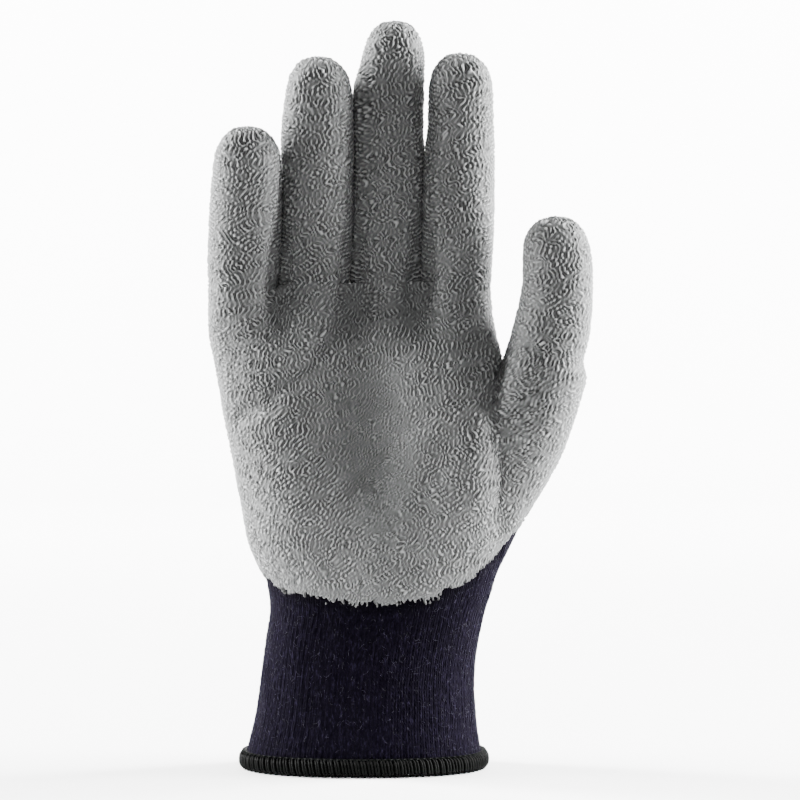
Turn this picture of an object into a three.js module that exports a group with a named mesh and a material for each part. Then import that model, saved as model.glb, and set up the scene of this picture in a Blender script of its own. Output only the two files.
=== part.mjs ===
// A right-hand work glove in its worn form: palm towards -Y, fingers up, thumb at +X.
// The knit is thin hollow walls, made as such gloves are knitted: a tube for each finger and the thumb,
// the palm that joins them and a ribbed wrist. The latex coat is a skin dipped over the palm, the finger
// sides and the fingertips, and an overlocked hem binds the wrist's mouth.
// Millimetres. The origin is the middle of the mouth, at the lowest edge of the hem.
import * as THREE from "three";

// Walls and clearances
const KNIT_WALL = 1.5;
const COAT_WALL = 0.9;
const PIECE_GAP = 0.3;
const FINGER_GAP = 0.35; // between two coated fingers
const SKIN = PIECE_GAP + COAT_WALL; // from the knit's outer face to the coat's

// Wrist and hem
const CUFF_LENGTH = 51.8; // from the hem's lowest edge to the narrow of the wrist
const WRIST_WIDTH = 68;
const WRIST_DEPTH = 42;
const HEM_HEIGHT = 5.2;
const HEM_THICKNESS = 2.1;
const HEM_SEAT = 2; // from the hem's lowest edge to the knit's raw edge
// shoulder, foot: shares of the hem's height. lining, top: of its thickness, inside the wrist and at its top
const HEM_SHAPE = { shoulder: 0.8, foot: 0.25, lining: 0.75, top: 0.8 };

// Palm
const PALM_LENGTH = 107; // from the narrow of the wrist to the finger webs
const PALM_DEPTH = 30;
const CROTCH_HEIGHT = 77; // of the thumb's web above the narrow of the wrist
const VALLEY_LENGTH = 24; // below the webs, where the grooves between fingers fade out
const WEB_DROP = 2.4; // of a web's front and back edges below its middle
const THUMB_WEB_DEPTH = 8; // of the thumb's web in front of the hand's middle plane
const WEB_RISE = 2.4; // from a web to where the fingers beside it stand clear of each other
const SPLIT_START = 0.12; // share of CROTCH_HEIGHT from which the thumb's root swells out of the palm
const BOW = { start: 0.4, fade: 0.85 }; // where the palm starts to bow to the thumb, and how much fades above
const RELIEF_RIM = 0.25; // share of PALM_DEPTH over which the palm's relief grows from its side
const RELIEF_TOP = 9; // below the webs, over which the palm's relief fades out

// Fingers, over the knit
const MIDDLE_FINGER_LENGTH = 84.6;
const FINGER_WIDTH = 20.8;
const FINGER_DEPTH = 20.8;
const FINGER_CURL = 13; // how far the little fingertip comes forward of its base
const FINGER_ARCH = 4.5; // how far the little finger's base stands in front of the hand's middle plane
const KNUCKLE_FALL = 3.6; // of the little finger's base below the middle finger's
const FINGER_LEAN = 3.2; // of the little fingertip to +X

// Thumb, over the knit
const THUMB_LENGTH = 49.5;
const THUMB_WIDTH = 20.8;
const THUMB_DEPTH = 21.4;
const THUMB_FORWARD = 11; // of its base, in front of the hand's middle plane
const THUMB_CURL = 6;
const THUMB_LEAN = -2.2;
const THUMB_BEND = 6.6; // how far it bows outwards on the way up
const THUMB_BASE_HEIGHT = 2; // of its spine above its web
const THUMB_ROOT = { low: 1.5, high: 1.12 }; // shares of its depth, at the narrow of the wrist and at its web

// Fingertips. LENGTH is a share of the finger's width, SHOULDER of the tip's length
const TIP_LENGTH = 0.52;
const TIP_BLUNTNESS = 0.8;
const TIP_PATCH = 0.11; // share of the tip's width, from the patch's middle point to its side ones
const TIP_SHOULDER = 0.97;

// Each finger's shares of the finger sizes above
const FINGER_SHARES = [
  { name: "little", length: 0.603, width: 1.03, depth: 1.01, lean: 1.0, curl: 1.0, arch: 1.0, fall: 1.0 },
  { name: "ring", length: 0.856, width: 1.035, depth: 1.0, lean: 0.44, curl: 0.885, arch: 0.27, fall: 0.33 },
  { name: "middle", length: 1.0, width: 0.975, depth: 1.0, lean: 0.85, curl: 0.615, arch: -0.36, fall: 0 },
  { name: "index", length: 0.869, width: 1.02, depth: 1.02, lean: 0.16, curl: 0.69, arch: 0.31, fall: 0.11 },
];

// Wrist sections. at: share of CUFF_LENGTH. left, right: shares of WRIST_WIDTH. front, back: of WRIST_DEPTH
const WRIST_SECTIONS = [
  { at: 0.0, left: -0.587, right: 0.567, front: 0.53, back: 0.53 },
  { at: 0.1, left: -0.579, right: 0.559, front: 0.525, back: 0.525 },
  { at: 0.19, left: -0.56, right: 0.544, front: 0.51, back: 0.51 },
  { at: 0.34, left: -0.535, right: 0.534, front: 0.495, back: 0.495 },
  { at: 0.5, left: -0.516, right: 0.525, front: 0.485, back: 0.48 },
  { at: 0.73, left: -0.494, right: 0.537, front: 0.48, back: 0.465 },
  { at: 1.0, left: -0.466, right: 0.579, front: 0.51, back: 0.455 },
];
// Hand sections. at: share of PALM_LENGTH, left, right and web: shares of the knuckle width,
// front and back: of PALM_DEPTH
const HAND_SECTIONS = [
  { at: 0.05, left: -0.35, right: 0.446, web: 0.1, front: 0.74, back: 0.63 },
  { at: 0.1, left: -0.361, right: 0.462, web: 0.12, front: 0.765, back: 0.61 },
  { at: 0.2, left: -0.406, right: 0.515, web: 0.2, front: 0.78, back: 0.57 },
  { at: 0.32, left: -0.434, right: 0.581, web: 0.29, front: 0.75, back: 0.53 },
  { at: 0.45, left: -0.462, right: 0.664, web: 0.37, front: 0.68, back: 0.51 },
  { at: 0.58, left: -0.492, right: 0.716, web: 0.43, front: 0.61, back: 0.49 },
  { at: 0.72, left: -0.52, right: 0.757, web: 0.472, front: 0.53, back: 0.47 },
  { at: 0.86, left: -0.546, right: 0.757, web: 0.456, front: 0.48, back: 0.45 },
  { at: 1.0, left: -0.556, right: 0.757, web: 0.452, front: 0.46, back: 0.42 },
];
// A finger along its length. at: share of the length. width, depth: shares of the finger's own
const FINGER_SECTIONS = [
  { at: 0.0, width: 0.9, depth: 0.98 },
  { at: 0.22, width: 0.985, depth: 1.0 },
  { at: 0.42, width: 1.0, depth: 0.98 },
  { at: 0.62, width: 0.975, depth: 0.94 },
  { at: 0.8, width: 0.92, depth: 0.88 },
  { at: 1.0, width: 0.87, depth: 0.8 },
];
const THUMB_SECTIONS = [
  { at: 0.0, width: 1.12, depth: 1.06 },
  { at: 0.25, width: 1.09, depth: 1.03 },
  { at: 0.5, width: 1.01, depth: 0.98 },
  { at: 0.75, width: 0.96, depth: 0.92 },
  { at: 1.0, width: 0.89, depth: 0.82 },
];
// Soft relief on the palm side. x: share of the knuckle width, z: of PALM_LENGTH, across, along: its reach
// as shares of the same, lift: share of PALM_DEPTH, towards the palm's own side when positive
const PALM_RELIEF = [
  { name: "hollow", x: 0.03, z: 0.6, across: 0.17, along: 0.3, lift: -0.13 },
  { name: "heel_groove", x: 0.06, z: 0.2, across: 0.09, along: 0.22, lift: -0.07 },
  { name: "little_mound", x: -0.27, z: 0.36, across: 0.17, along: 0.3, lift: 0.1 },
  { name: "thumb_mound", x: 0.34, z: 0.36, across: 0.19, along: 0.28, lift: 0.14 },
  { name: "knuckle_pads", x: -0.2, z: 0.84, across: 0.36, along: 0.12, lift: 0.07 },
];
// The coat's lower edge on the palm. x: share of the knuckle width, z: share of PALM_LENGTH
const HEEL_EDGE = [
  { x: -0.56, z: 0.3 },
  { x: -0.4, z: 0.15 },
  { x: -0.24, z: 0.045 },
  { x: -0.02, z: 0.01 },
  { x: 0.2, z: 0.028 },
  { x: 0.34, z: 0.085 },
  { x: 0.48, z: 0.2 },
  { x: 0.6, z: 0.36 },
  { x: 0.7, z: 0.52 },
  { x: 0.8, z: 0.7 },
];
const COAT_WRAP = 5.2; // how far the coat reaches behind the middle of the hand or finger
const COAT_TIP = 13; // how much of each fingertip the coat covers all round
const COAT_CORNER_RADIUS = 5; // how softly its lower edge turns into its side edge
const CUT_MARGIN = 0.04; // share of a mesh edge that the coat's edge keeps off its ends

// Mesh density
const FRONT_COLUMNS = 5; // on the front of one finger, and as many on its back
const WRIST_ROWS = 4;
const HEEL_ROWS = 8;
const KNUCKLE_ROWS = 4;
const ROW_STEP = 8.5; // along a finger
const TIP_ANGLES = [0, 35, 64];

const FINGERS = FINGER_SHARES.map((row) => ({
  length: row.length * MIDDLE_FINGER_LENGTH,
  width: row.width * FINGER_WIDTH,
  depth: row.depth * FINGER_DEPTH,
  lean: row.lean * FINGER_LEAN,
  bend: 0,
  curl: row.curl * FINGER_CURL,
  forward: row.arch * FINGER_ARCH,
  drop: row.fall * KNUCKLE_FALL,
}));
const THUMB = {
  length: THUMB_LENGTH,
  width: THUMB_WIDTH,
  depth: THUMB_DEPTH,
  lean: THUMB_LEAN,
  bend: THUMB_BEND,
  curl: THUMB_CURL,
};

const RING = 2 * FRONT_COLUMNS + 2;
const FINGER_COUNT = FINGERS.length;
const PALM_SIDE = FINGER_COUNT * (FRONT_COLUMNS + 1); // columns from the left side to the right one
const HAND_SIDE = PALM_SIDE + FRONT_COLUMNS + 1;
const KNUCKLE_WIDTH =
  FINGERS.reduce((sum, finger) => sum + finger.width + 2 * SKIN, 0) + FINGER_GAP * (FINGER_COUNT - 1);
const FINGERS_LEFT = -0.556 * KNUCKLE_WIDTH;
const SQUARENESS = { wrist: 2.3, palm: 2.5, finger: 2.25 };
const SIDE_SPREAD = 0.12; // radians
const BEND_WAVE = 0.75; // share of half a wave that the thumb's bow runs through
const WEB_THICKNESS_SHARE = 0.5; // of a finger's depth, front to back of a finger web
const VALLEY = { front: 0.27, back: 0.18 }; // shares of the thumb's depth, from its web's middle to its edges

const smooth = (low, high, x) => THREE.MathUtils.smoothstep(x, low, high);
const mix = THREE.MathUtils.lerp;

// A column of a table at a place, on a cubic through its rows.
function sample(table, key, column, place) {
  const at = THREE.MathUtils.clamp(place, table[0][key], table.at(-1)[key]);
  const i = Math.min(
    table.findLastIndex((row) => row[key] <= at),
    table.length - 2,
  );
  const slope = (n) => {
    const a = table[Math.max(n - 1, 0)];
    const b = table[Math.min(n + 1, table.length - 1)];
    return (b[column] - a[column]) / (b[key] - a[key]);
  };
  const span = table[i + 1][key] - table[i][key];
  const t = (at - table[i][key]) / span;
  const rise = table[i + 1][column] - table[i][column];
  const bend = t * (1 - t) * ((1 - t) * (slope(i) * span - rise) - t * (slope(i + 1) * span - rise));
  return table[i][column] + t * rise + bend;
}

// The hand's sections in millimetres, from the mouth to the finger webs.
const SECTIONS = [
  ...WRIST_SECTIONS.map((row) => ({
    z: row.at * CUFF_LENGTH,
    left: row.left * WRIST_WIDTH,
    right: row.right * WRIST_WIDTH,
    web: row.right * WRIST_WIDTH,
    front: row.front * WRIST_DEPTH,
    back: row.back * WRIST_DEPTH,
  })),
  ...HAND_SECTIONS.map((row) => ({
    z: CUFF_LENGTH + row.at * PALM_LENGTH,
    left: row.left * KNUCKLE_WIDTH + SKIN,
    right: row.right * KNUCKLE_WIDTH - SKIN,
    web: row.web * KNUCKLE_WIDTH - SKIN,
    front: row.front * PALM_DEPTH,
    back: row.back * PALM_DEPTH,
  })),
];
const sectionAt = (z) =>
  Object.fromEntries(["left", "right", "web", "front", "back"].map((c) => [c, sample(SECTIONS, "z", c, z)]));

const WEB_Z = CUFF_LENGTH + PALM_LENGTH;
const CROTCH_Z = CUFF_LENGTH + CROTCH_HEIGHT;

// A point on a rounded oval, seen from above: angle 180 is the left side, 270 the front, 0 the right side.
function oval(angle, squareness) {
  const a = THREE.MathUtils.degToRad(angle);
  const round = (v) => Math.sign(v) * Math.abs(v) ** (2 / squareness);
  return [round(Math.cos(a)), round(Math.sin(a))];
}
const ovalPoint = (left, right, front, back, z, angle, squareness) => {
  const [u, v] = oval(angle, squareness);
  return new THREE.Vector3((left + right) / 2 + (u * (right - left)) / 2, v * (v < 0 ? front : back), z);
};

// How far the palm's relief stands out at a place on its front.
const relief = (x, z) =>
  PALM_RELIEF.reduce((sum, row) => {
    const across = (x / KNUCKLE_WIDTH - row.x) / row.across;
    const along = ((z - CUFF_LENGTH) / PALM_LENGTH - row.z) / row.along;
    return sum + row.lift * PALM_DEPTH * Math.exp(-across * across - along * along);
  }, 0);

// Where each finger stands: side by side from the little finger's outer edge.
let edge = FINGERS_LEFT;
const STANDS = FINGERS.map((finger) => {
  const x = edge + SKIN + finger.width / 2;
  edge = x + finger.width / 2 + SKIN + FINGER_GAP;
  return { x, y: -finger.forward, z: WEB_Z - finger.drop };
});

// One ring of a finger: along its curved spine, square to it. t may pass 1 for the rings of the tip.
function fingerFrame(finger, stand, t) {
  const spine = (s) =>
    new THREE.Vector3(
      stand.x + finger.lean * s + finger.bend * Math.sin(Math.PI * BEND_WAVE * s),
      stand.y - finger.curl * s * s,
      stand.z + finger.length * s,
    );
  const centre = spine(t);
  const along = spine(t + 0.01).sub(spine(t - 0.01)).normalize();
  const across = new THREE.Vector3(1, 0, 0).addScaledVector(along, -along.x).normalize();
  return { centre, along, across, out: new THREE.Vector3().crossVectors(along, across) };
}

function fingerPoint(frame, width, depth, [u, v], lift) {
  return frame.centre
    .clone()
    .addScaledVector(frame.across, (u * width) / 2)
    .addScaledVector(frame.out, (v * depth) / 2)
    .addScaledVector(frame.along, lift);
}

// Which way round a ring of a finger each of its columns lies, drawn a little away from its two sides.
function ringAngle(k) {
  const turn = (2 * Math.PI * k) / RING;
  return 180 + THREE.MathUtils.radToDeg(turn + SIDE_SPREAD * Math.sin(2 * turn));
}

// behind: how far a point lies behind the middle of its own finger, or of the hand
// owners: the piece of the knit that each face belongs to. seams: the ring where each tube starts
const surface = { points: [], tips: [], behind: [], faces: [], owners: [], seams: {} };
let piece = "knit_wrist";
function addFaces(...faces) {
  for (const face of faces) {
    surface.faces.push(face);
    surface.owners.push(piece);
  }
}
const facesOf = (wanted) => surface.faces.filter((_, i) => wanted(surface.owners[i]));
function addPoint(point, behind = point.y, fromTip = Infinity) {
  surface.points.push(point);
  surface.behind.push(behind);
  surface.tips.push(fromTip);
  return surface.points.length - 1;
}
function joinRings(lower, upper) {
  lower.forEach((v, k) => {
    const next = (k + 1) % lower.length;
    addFaces([v, lower[next], upper[next], upper[k]]);
  });
}

// A column of the whole hand below the thumb's web, as one oval.
function handOval(k, z) {
  const s = sectionAt(z);
  const angle = 180 + (180 * k) / HAND_SIDE;
  const squareness = mix(SQUARENESS.wrist, SQUARENESS.palm, smooth(CUFF_LENGTH, CROTCH_Z, z));
  return ovalPoint(s.left, s.right, s.front, s.back, z, angle, squareness);
}

// How far the palm bows forward to the thumb's web: all of it at the web, less across the palm and above.
function palmBow(x, s, z) {
  const across = smooth(mix(s.left, s.web, BOW.start), s.web, x);
  return THUMB_WEB_DEPTH * across * (1 - BOW.fade * smooth(CROTCH_Z, WEB_Z, z));
}

// How far the hand's own middle lies in front of its middle plane, from the wrist to the webs.
function middleShift(x, z) {
  const s = sectionAt(z);
  const onThumb = z > CROTCH_Z ? 0 : smooth(s.web, (s.web + s.right) / 2, x);
  return mix(palmBow(x, s, z), THUMB_FORWARD, onThumb) * smooth(CUFF_LENGTH, CROTCH_Z, z);
}

// A column of the four-finger part of the hand, from its own oval to the finger bases above it. Each column
// of the oval keeps the place across the hand that it has at the finger bases, so that it runs up straight.
function palmPoint(k, z) {
  const s = sectionAt(z);
  const turn = k <= PALM_SIDE ? k : 2 * PALM_SIDE - k;
  const side = k <= PALM_SIDE ? 1 : -1;
  const [left, base, right] = [0, turn, PALM_SIDE].map((column) => fingerBase(column, side));
  const across = (base.x - left.x) / (right.x - left.x);
  const x = mix(s.left, s.web, across);
  const v = (1 - Math.abs(2 * across - 1) ** SQUARENESS.palm) ** (1 / SQUARENESS.palm);
  const own = new THREE.Vector3(x, side > 0 ? -v * s.front : v * s.back, z);
  own.y -= palmBow(x, s, z);
  base.z += z - WEB_Z;
  return own.lerp(base, smooth(WEB_Z - VALLEY_LENGTH, WEB_Z, z));
}

// The finger base that a palm column runs up to: on a finger's base ring, or on the web between two fingers.
function fingerBase(turn, side) {
  const i = Math.min(Math.floor(turn / (FRONT_COLUMNS + 1)), FINGER_COUNT - 1);
  const column = turn - i * (FRONT_COLUMNS + 1);
  const finger = FINGERS[i];
  const stand = STANDS[i];
  if (column === 0 && i > 0) {
    const other = STANDS[i - 1];
    const depth = (Math.min(finger.depth, FINGERS[i - 1].depth) / 2) * WEB_THICKNESS_SHARE;
    return new THREE.Vector3(
      (stand.x - finger.width / 2 + other.x + FINGERS[i - 1].width / 2) / 2,
      (stand.y + other.y) / 2 - side * depth,
      (stand.z + other.z) / 2 - WEB_DROP,
    );
  }
  const [u, v] = oval(ringAngle(side * column), SQUARENESS.finger);
  const width = finger.width * FINGER_SECTIONS[0].width;
  return new THREE.Vector3(stand.x + (u * width) / 2, stand.y + (v * finger.depth) / 2, stand.z);
}

// The thumb's base ring at a height below its web: it spans from the web's line to the hand's right side.
const thumbStand = () => {
  const s = sectionAt(CROTCH_Z);
  return { x: (s.web + s.right) / 2, y: -THUMB_FORWARD, z: CROTCH_Z + THUMB_BASE_HEIGHT };
};
function thumbPoint(k, z) {
  const s = sectionAt(z);
  const rise = smooth(CUFF_LENGTH, CROTCH_Z, z);
  const [u, v] = oval(ringAngle(k), SQUARENESS.finger);
  const half = (s.right - s.web) / 2;
  return new THREE.Vector3(
    (s.web + s.right) / 2 + u * half,
    -THUMB_FORWARD * rise + (v * THUMB_DEPTH * mix(THUMB_ROOT.low, THUMB_ROOT.high, rise)) / 2,
    z,
  );
}

// The hand's whole ring at one height: palm columns, the thumb's valley, the thumb's columns and back.
function handRing(z) {
  const share = smooth(CUFF_LENGTH + SPLIT_START * CROTCH_HEIGHT, CROTCH_Z, z);
  const ring = [];
  for (let k = 0; k < 2 * HAND_SIDE; k++) {
    const side = k <= HAND_SIDE ? 1 : -1;
    const turn = side > 0 ? k : 2 * HAND_SIDE - k;
    let split;
    if (turn < PALM_SIDE) split = palmPoint(side > 0 ? turn : 2 * PALM_SIDE - turn, z);
    else if (turn === PALM_SIDE) split = thumbValley(side, z);
    else split = thumbPoint(side > 0 ? turn - PALM_SIDE : RING - (turn - PALM_SIDE), z);
    ring.push(handOval(k, z).lerp(split, share));
  }
  ring.forEach((p) => (p.y -= relief(p.x, p.z) * smooth(0, RELIEF_RIM * PALM_DEPTH, -p.y)));
  return ring.map((p) => addPoint(p, p.y + middleShift(p.x, z)));
}
const thumbValley = (side, z) => {
  const s = sectionAt(z);
  const reach = side > 0 ? -VALLEY.front : VALLEY.back;
  return new THREE.Vector3(s.web, -THUMB_WEB_DEPTH + THUMB_DEPTH * reach, z - WEB_DROP);
};

// One ring of a finger, joined to the ring below it.
function addRing(finger, stand, sections, lower, t, shrink = 1, lift = 0) {
  const frame = fingerFrame(finger, stand, t);
  const width = finger.width * sample(sections, "at", "width", t) * shrink;
  const depth = finger.depth * sample(sections, "at", "depth", t) * shrink;
  const fromTip = finger.length * (1 - t) - lift;
  const upper = [];
  for (let k = 0; k < RING; k++) {
    const place = oval(ringAngle(k), SQUARENESS.finger);
    upper.push(addPoint(fingerPoint(frame, width, depth, place, lift), (place[1] * depth) / 2, fromTip));
  }
  joinRings(lower, upper);
  return upper;
}

// Builds one knitted tube from its seam ring to its rounded tip, closed by a patch of eight quads.
function growTube(name, finger, stand, seam, sections) {
  piece = name;
  surface.seams[name] = seam;
  const tipWidth = finger.width * sections.at(-1).width;
  const tipLength = TIP_LENGTH * finger.width;
  const straight = 1 - tipLength / finger.length;
  const rows = Math.max(2, Math.round((finger.length * straight) / ROW_STEP));
  let ring = seam;
  for (let row = 1; row < rows; row++) ring = addRing(finger, stand, sections, ring, (row / rows) * straight);
  for (const angle of TIP_ANGLES) {
    const a = THREE.MathUtils.degToRad(angle);
    const shrink = Math.cos(a) ** TIP_BLUNTNESS;
    ring = addRing(finger, stand, sections, ring, straight, shrink, tipLength * Math.sin(a));
  }
  // The patch: two rows of four quads, with three points between the front and the back of the last ring.
  const frame = fingerFrame(finger, stand, straight);
  const [left, middle, right] = [-1, 0, 1].map((u) =>
    addPoint(
      frame.centre
        .clone()
        .addScaledVector(frame.across, u * tipWidth * TIP_PATCH)
        .addScaledVector(frame.along, tipLength * (u ? TIP_SHOULDER : 1)),
      0,
      0,
    ),
  );
  const r = ring;
  addFaces([r[1], r[2], left, r[0]], [left, r[2], r[3], middle], [middle, r[3], r[4], right]);
  addFaces([r[5], r[6], right, r[4]], [r[7], r[8], right, r[6]], [right, r[8], r[9], middle]);
  addFaces([middle, r[9], r[10], left], [r[11], r[0], left, r[10]]);
}

const TUBES = FINGER_SHARES.map((row) => "knit_" + row.name + "_finger");

// The knit's outer face as one net of quads, from the mouth to the five tips.
function buildSurface() {
  const mouth = HEM_SEAT + PIECE_GAP;
  const joint = CUFF_LENGTH - PIECE_GAP / 2;
  const wristRings = [];
  for (let row = 0; row <= WRIST_ROWS; row++) wristRings.push(handRing(mix(mouth, joint, row / WRIST_ROWS)));
  wristRings.slice(1).forEach((ring, i) => joinRings(wristRings[i], ring));

  piece = "knit_palm";
  const start = joint + PIECE_GAP;
  let ring = handRing(start);
  for (let row = 1; row <= HEEL_ROWS; row++) {
    const upper = handRing(mix(start, CROTCH_Z, row / HEEL_ROWS));
    joinRings(ring, upper);
    ring = upper;
  }
  // The thumb's web splits the ring in two.
  const s = sectionAt(CROTCH_Z);
  const web = addPoint(new THREE.Vector3(s.web, -THUMB_WEB_DEPTH, CROTCH_Z));
  const palmRing = [...ring.slice(0, PALM_SIDE), web, ...ring.slice(2 * HAND_SIDE - PALM_SIDE + 1)];
  const thumbRing = [web, ...ring.slice(PALM_SIDE + 1, PALM_SIDE + RING)];
  addFaces(
    [ring[PALM_SIDE], thumbRing[1], web, ring[PALM_SIDE - 1]],
    [ring[2 * HAND_SIDE - PALM_SIDE], palmRing[PALM_SIDE + 1], web, thumbRing.at(-1)],
  );

  let palm = palmRing;
  for (let row = 1; row <= KNUCKLE_ROWS; row++) {
    const z = mix(CROTCH_Z, WEB_Z, row / KNUCKLE_ROWS);
    const upper = [];
    for (let k = 0; k < 2 * PALM_SIDE; k++) {
      const p = palmPoint(k, z);
      const fade = smooth(0, RELIEF_RIM * PALM_DEPTH, -p.y) * (1 - smooth(WEB_Z - RELIEF_TOP, WEB_Z, z));
      p.y -= relief(p.x, p.z) * fade;
      upper.push(addPoint(p, p.y + middleShift(p.x, z)));
    }
    joinRings(palm, upper);
    palm = upper;
  }
  // The finger webs.
  const webs = [];
  for (let i = 0; i < FINGER_COUNT - 1; i++) {
    const k = (i + 1) * (FRONT_COLUMNS + 1);
    const front = surface.points[palm[k]];
    const back = surface.points[palm[2 * PALM_SIDE - k]];
    const middle = front.clone().lerp(back, 0.5);
    middle.z += WEB_DROP;
    const m = addPoint(middle);
    webs.push(m);
    const at = (n) => palm[(n + 2 * PALM_SIDE) % (2 * PALM_SIDE)];
    addFaces([at(k), at(k + 1), m, at(k - 1)], [at(-k), at(-k + 1), m, at(-k - 1)]);
  }
  const bases = FINGERS.map((finger, i) => {
    const from = i * (FRONT_COLUMNS + 1);
    const front = palm.slice(from + 1, from + FRONT_COLUMNS + 1);
    const back = palm.slice(2 * PALM_SIDE - from - FRONT_COLUMNS, 2 * PALM_SIDE - from);
    const left = i === 0 ? palm[0] : webs[i - 1];
    const right = i === FINGER_COUNT - 1 ? palm[PALM_SIDE] : webs[i];
    const base = [left, ...front, right, ...back];
    return addRing(finger, STANDS[i], FINGER_SECTIONS, base, WEB_RISE / finger.length);
  });
  bases.forEach((base, i) => growTube(TUBES[i], FINGERS[i], STANDS[i], base, FINGER_SECTIONS));
  growTube("knit_thumb", THUMB, thumbStand(), thumbRing, THUMB_SECTIONS);
  return { wristMouth: wristRings[0], wristSecond: wristRings[1] };
}

const parts = buildSurface();

// A mean of the faces round each point, as its outward direction.
function outwards() {
  const normals = surface.points.map(() => new THREE.Vector3());
  for (const face of surface.faces) {
    const [a, b, c, d] = face.map((v) => surface.points[v]);
    const n = c.clone().sub(a).cross(d.clone().sub(b));
    face.forEach((v) => normals[v].add(n));
  }
  return normals.map((n) => n.normalize());
}
const OUT = outwards();
parts.wristMouth.forEach((v) => OUT[v].setZ(0).normalize()); // the mouth's rim is level
const offsetPoint = (v, distance) => surface.points[v].clone().addScaledVector(OUT[v], distance);

// A closed geometry from points and faces of three or four corners.
function geometryOf(points, faces) {
  const geometry = new THREE.BufferGeometry();
  geometry.setAttribute("position", new THREE.Float32BufferAttribute(points.flatMap((p) => p.toArray()), 3));
  const triangles = faces.flatMap((f) => (f.length === 4 ? [f[0], f[1], f[2], f[0], f[2], f[3]] : f));
  geometry.setIndex(triangles);
  geometry.computeVertexNormals();
  return geometry;
}

// A wall from a set of faces: an outer and an inner face at two distances, closed at its open edges.
function wallOf(faces, pointAt, outer, inner) {
  const used = [...new Set(faces.flat())];
  const place = new Map(used.map((v, n) => [v, n]));
  const points = [...used.map((v) => pointAt(v, outer)), ...used.map((v) => pointAt(v, inner))];
  const shift = used.length;
  const made = faces.map((f) => f.map((v) => place.get(v)));
  const edges = new Set();
  made.forEach((f) => f.forEach((v, i) => edges.add(v + "," + f[(i + 1) % f.length])));
  const rims = [];
  for (const e of edges) {
    const [a, b] = e.split(",").map(Number);
    if (!edges.has(b + "," + a)) rims.push([b, a, a + shift, b + shift]);
  }
  const back = made.map((f) => f.map((v) => v + shift).reverse());
  return geometryOf(points, [...made, ...back, ...rims]);
}

// How far inside the coat's edge a point lies: above zero is coated.
function coated(v) {
  const p = surface.points[v];
  const x = THREE.MathUtils.clamp(p.x / KNUCKLE_WIDTH, HEEL_EDGE[0].x, HEEL_EDGE.at(-1).x);
  const heel = p.z - CUFF_LENGTH - sample(HEEL_EDGE, "x", "z", x) * PALM_LENGTH;
  const side = COAT_WRAP - surface.behind[v];
  const corner = COAT_CORNER_RADIUS;
  const low = -corner * Math.log(Math.exp(-heel / corner) + Math.exp(-side / corner));
  return Math.max(low, COAT_TIP - surface.tips[v]);
}

// The part of the surface under the coat, cut along the coat's edge.
function coatFaces() {
  const inside = surface.points.map((_, v) => coated(v));
  const cuts = new Map();
  const cut = (a, b) => {
    const key = Math.min(a, b) + "," + Math.max(a, b);
    if (!cuts.has(key)) {
      const t = THREE.MathUtils.clamp(inside[a] / (inside[a] - inside[b]), CUT_MARGIN, 1 - CUT_MARGIN);
      OUT.push(OUT[a].clone().lerp(OUT[b], t).normalize());
      cuts.set(key, addPoint(surface.points[a].clone().lerp(surface.points[b], t)));
    }
    return cuts.get(key);
  };
  const faces = [];
  for (const face of facesOf((owner) => owner !== "knit_wrist")) {
    for (const tri of [
      [face[0], face[1], face[2]],
      [face[0], face[2], face[3]],
    ]) {
      const kept = [];
      tri.forEach((v, i) => {
        const next = tri[(i + 1) % 3];
        if (inside[v] > 0) kept.push(v);
        if (inside[v] > 0 !== inside[next] > 0) kept.push(inside[v] > 0 ? cut(v, next) : cut(next, v));
      });
      if (kept.length > 2) faces.push(kept);
    }
  }
  return faces;
}

// A knitted piece. The lowest ring of a tube stands a gap above the palm's ring of the same points.
function knitPiece(name) {
  const seam = surface.seams[name] ?? [];
  const pointAt = (v, distance) => {
    const point = offsetPoint(v, distance);
    const at = seam.indexOf(v);
    if (at < 0) return point;
    const round = surface.points[seam[(at + 1) % seam.length]].clone().sub(surface.points[seam.at(at - 1)]);
    return point.addScaledVector(OUT[v].clone().cross(round).normalize(), PIECE_GAP);
  };
  return wallOf(
    facesOf((owner) => owner === name),
    pointAt,
    0,
    -KNIT_WALL,
  );
}

function latexCoat() {
  return wallOf(coatFaces(), offsetPoint, SKIN, PIECE_GAP);
}

// The hem: a channel carried round the mouth, wrapped over the knit's raw edge.
// out: distance from the knit's outer face. z: height above the hem's lowest edge.
function cuffHem() {
  const inside = -KNIT_WALL;
  const shoulder = HEM_HEIGHT * HEM_SHAPE.shoulder;
  const foot = HEM_HEIGHT * HEM_SHAPE.foot;
  const section = [
    { out: PIECE_GAP, z: HEM_HEIGHT },
    { out: PIECE_GAP, z: HEM_SEAT },
    { out: inside - PIECE_GAP, z: HEM_SEAT },
    { out: inside - PIECE_GAP, z: shoulder },
    { out: inside - HEM_THICKNESS * HEM_SHAPE.lining, z: foot },
    { out: inside / 2, z: 0 },
    { out: HEM_THICKNESS + PIECE_GAP, z: foot },
    { out: HEM_THICKNESS * HEM_SHAPE.top + PIECE_GAP, z: shoulder },
  ];
  const points = [];
  parts.wristMouth.forEach((v, k) => {
    const low = surface.points[v];
    const high = surface.points[parts.wristSecond[k]];
    section.forEach((row) => {
      const side = low.clone().lerp(high, (row.z - low.z) / (high.z - low.z));
      points.push(side.addScaledVector(OUT[v], row.out));
    });
  });
  const faces = [];
  const rings = parts.wristMouth.length;
  for (let k = 0; k < rings; k++)
    section.forEach((_, i) => {
      const next = (i + 1) % section.length;
      const here = k * section.length;
      const there = ((k + 1) % rings) * section.length;
      faces.push([here + i, there + i, there + next, here + next]);
    });
  return geometryOf(points, faces);
}

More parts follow.
